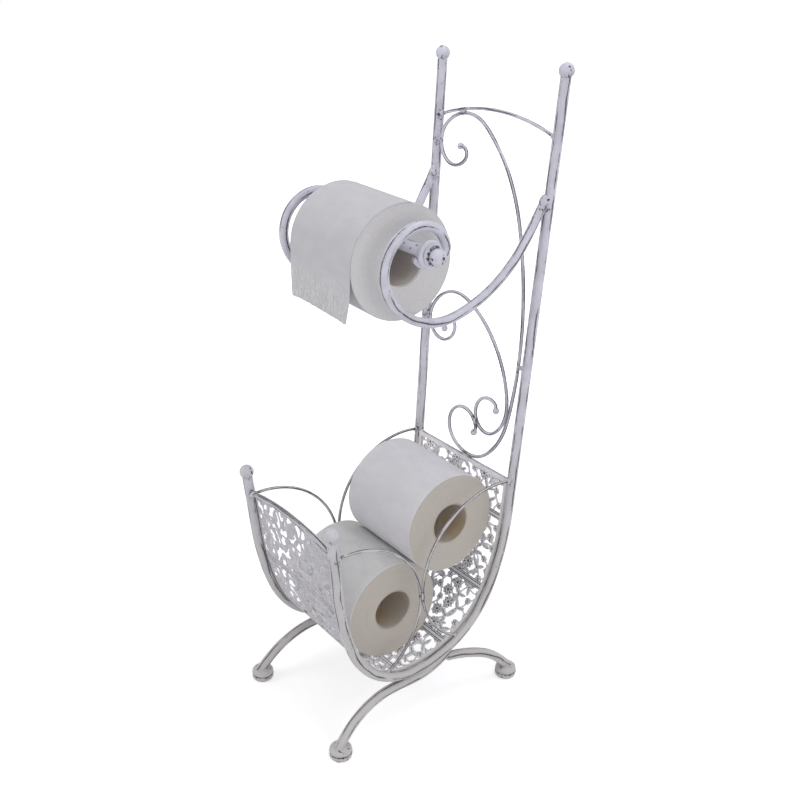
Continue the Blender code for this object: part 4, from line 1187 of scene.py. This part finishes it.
def pierced_sheet():
    """The stamp bent round the hoops, with its front edge bowed like the front rail."""
    stamp = sheet_pattern()
    spots, faces = cells_inside(stamp.field)
    travel, share = between(stamp.s, spots), between(np.broadcast_to(stamp.share, stamp.x.shape), spots)
    rail = lines["front_rail"][0]
    rail = rail[rail[:, 0].argsort()]
    half = on_sheet(travel)[3]
    rise = np.interp(share * half, rail[:, 0], rail[:, 2]) - rail[0, 2]
    travel = travel - rise * np.clip(1 - (travel - stamp.start) / SHEET_BEND, 0, 1)
    y, z, inward, half = on_sheet(travel)
    middle = np.stack((share * half, y, z), axis=-1)
    normal = np.column_stack((np.zeros(len(y)), inward))
    thick = (SHEET_THICKNESS / 2 + between(stamp.relief, spots))[:, None]
    grime = between(stamp.grime, spots)
    # outer face: a little groove grime, the rib grooves and the painted shadow line beside the hoop
    outer_grime_and_shadow = np.maximum(OUTER_GRIME * grime, between(stamp.lines, spots))
    piece("cradle_sheet_pierced", *two_sided(middle, normal, thick, faces), [SHEET_PAINT], "frame", "paint",
          ["cradle_sheet"],
          {"patina": np.concatenate((grime, outer_grime_and_shadow)), "inner": np.repeat((1.0, 0.0), len(spots))})


pierced_sheet()


# floor, light and camera

def floor():
    """A pale floor that shows white to the camera and keeps the holder's shadow."""
    bpy.ops.mesh.primitive_plane_add(size=FLOOR_SIZE, location=(0, 0, 0))
    plane = bpy.context.object
    plane.name = "studio_floor"
    look = new_look("studio_floor")
    away = look.value("Value", "VectorMath", {0: look.place()}, operation="LENGTH")
    glow = look.seen_directly() * look.blend(look.ramp(away, *FLOOR_FADE), FLOOR_GLOW, 1.0)
    plane.data.materials.append(look.finish(colour=(0.86, 0.86, 0.87), roughness=0.9, specular=0.0,
                                            glow_colour=(1, 1, 1), glow=glow))


def world():
    """White where the camera sees it, and a softer light on everything else."""
    sky = bpy.data.worlds.new("studio")
    bpy.context.scene.world = sky
    look = Look(sky, "Background")
    look.feed(look.shader.inputs["Color"], (1, 1, 1))
    look.feed(look.shader.inputs["Strength"], look.blend(look.seen_directly(), WORLD_STRENGTH, 1.0))


def lamp(name, place, target, size, power, tint):
    data = bpy.data.lights.new(name, "AREA")
    data.shape = "DISK"
    data.size = size
    data.energy = power
    data.color = tint
    item = placed(name, data)
    item.location = place
    item.rotation_euler = (Vector(target) - Vector(place)).to_track_quat("-Z", "Y").to_euler()


def camera():
    data = bpy.data.cameras.new("camera")
    data.lens = CAMERA_LENS
    data.sensor_width = SENSOR
    place = Matrix.Translation(CAMERA_PLACE)
    for angle, axis in ((CAMERA_AZIMUTH_DEG, "Z"), (90 - CAMERA_ELEVATION_DEG, "X"), (CAMERA_ROLL_DEG, "Z")):
        place = place @ Matrix.Rotation(math.radians(angle), 4, axis)
    bpy.context.scene.camera = placed("camera", data)
    bpy.context.scene.camera.matrix_world = place


floor()
world()
lamp("top_light", (0.3, 0.5, 2.3), (0, 0, 0.3), 1.6, 12.6, (0.91, 0.94, 1.0))
lamp("front_light", (-0.9, -1.9, 1.5), (0, 0, 0.35), 1.4, 10.0, (1.0, 0.99, 0.985))
lamp("side_light", (2.2, -0.5, 0.9), (0, 0, 0.3), 1.4, 9.5, (1.0, 0.985, 0.965))
camera()
bpy.context.scene.view_settings.view_transform = "Standard"
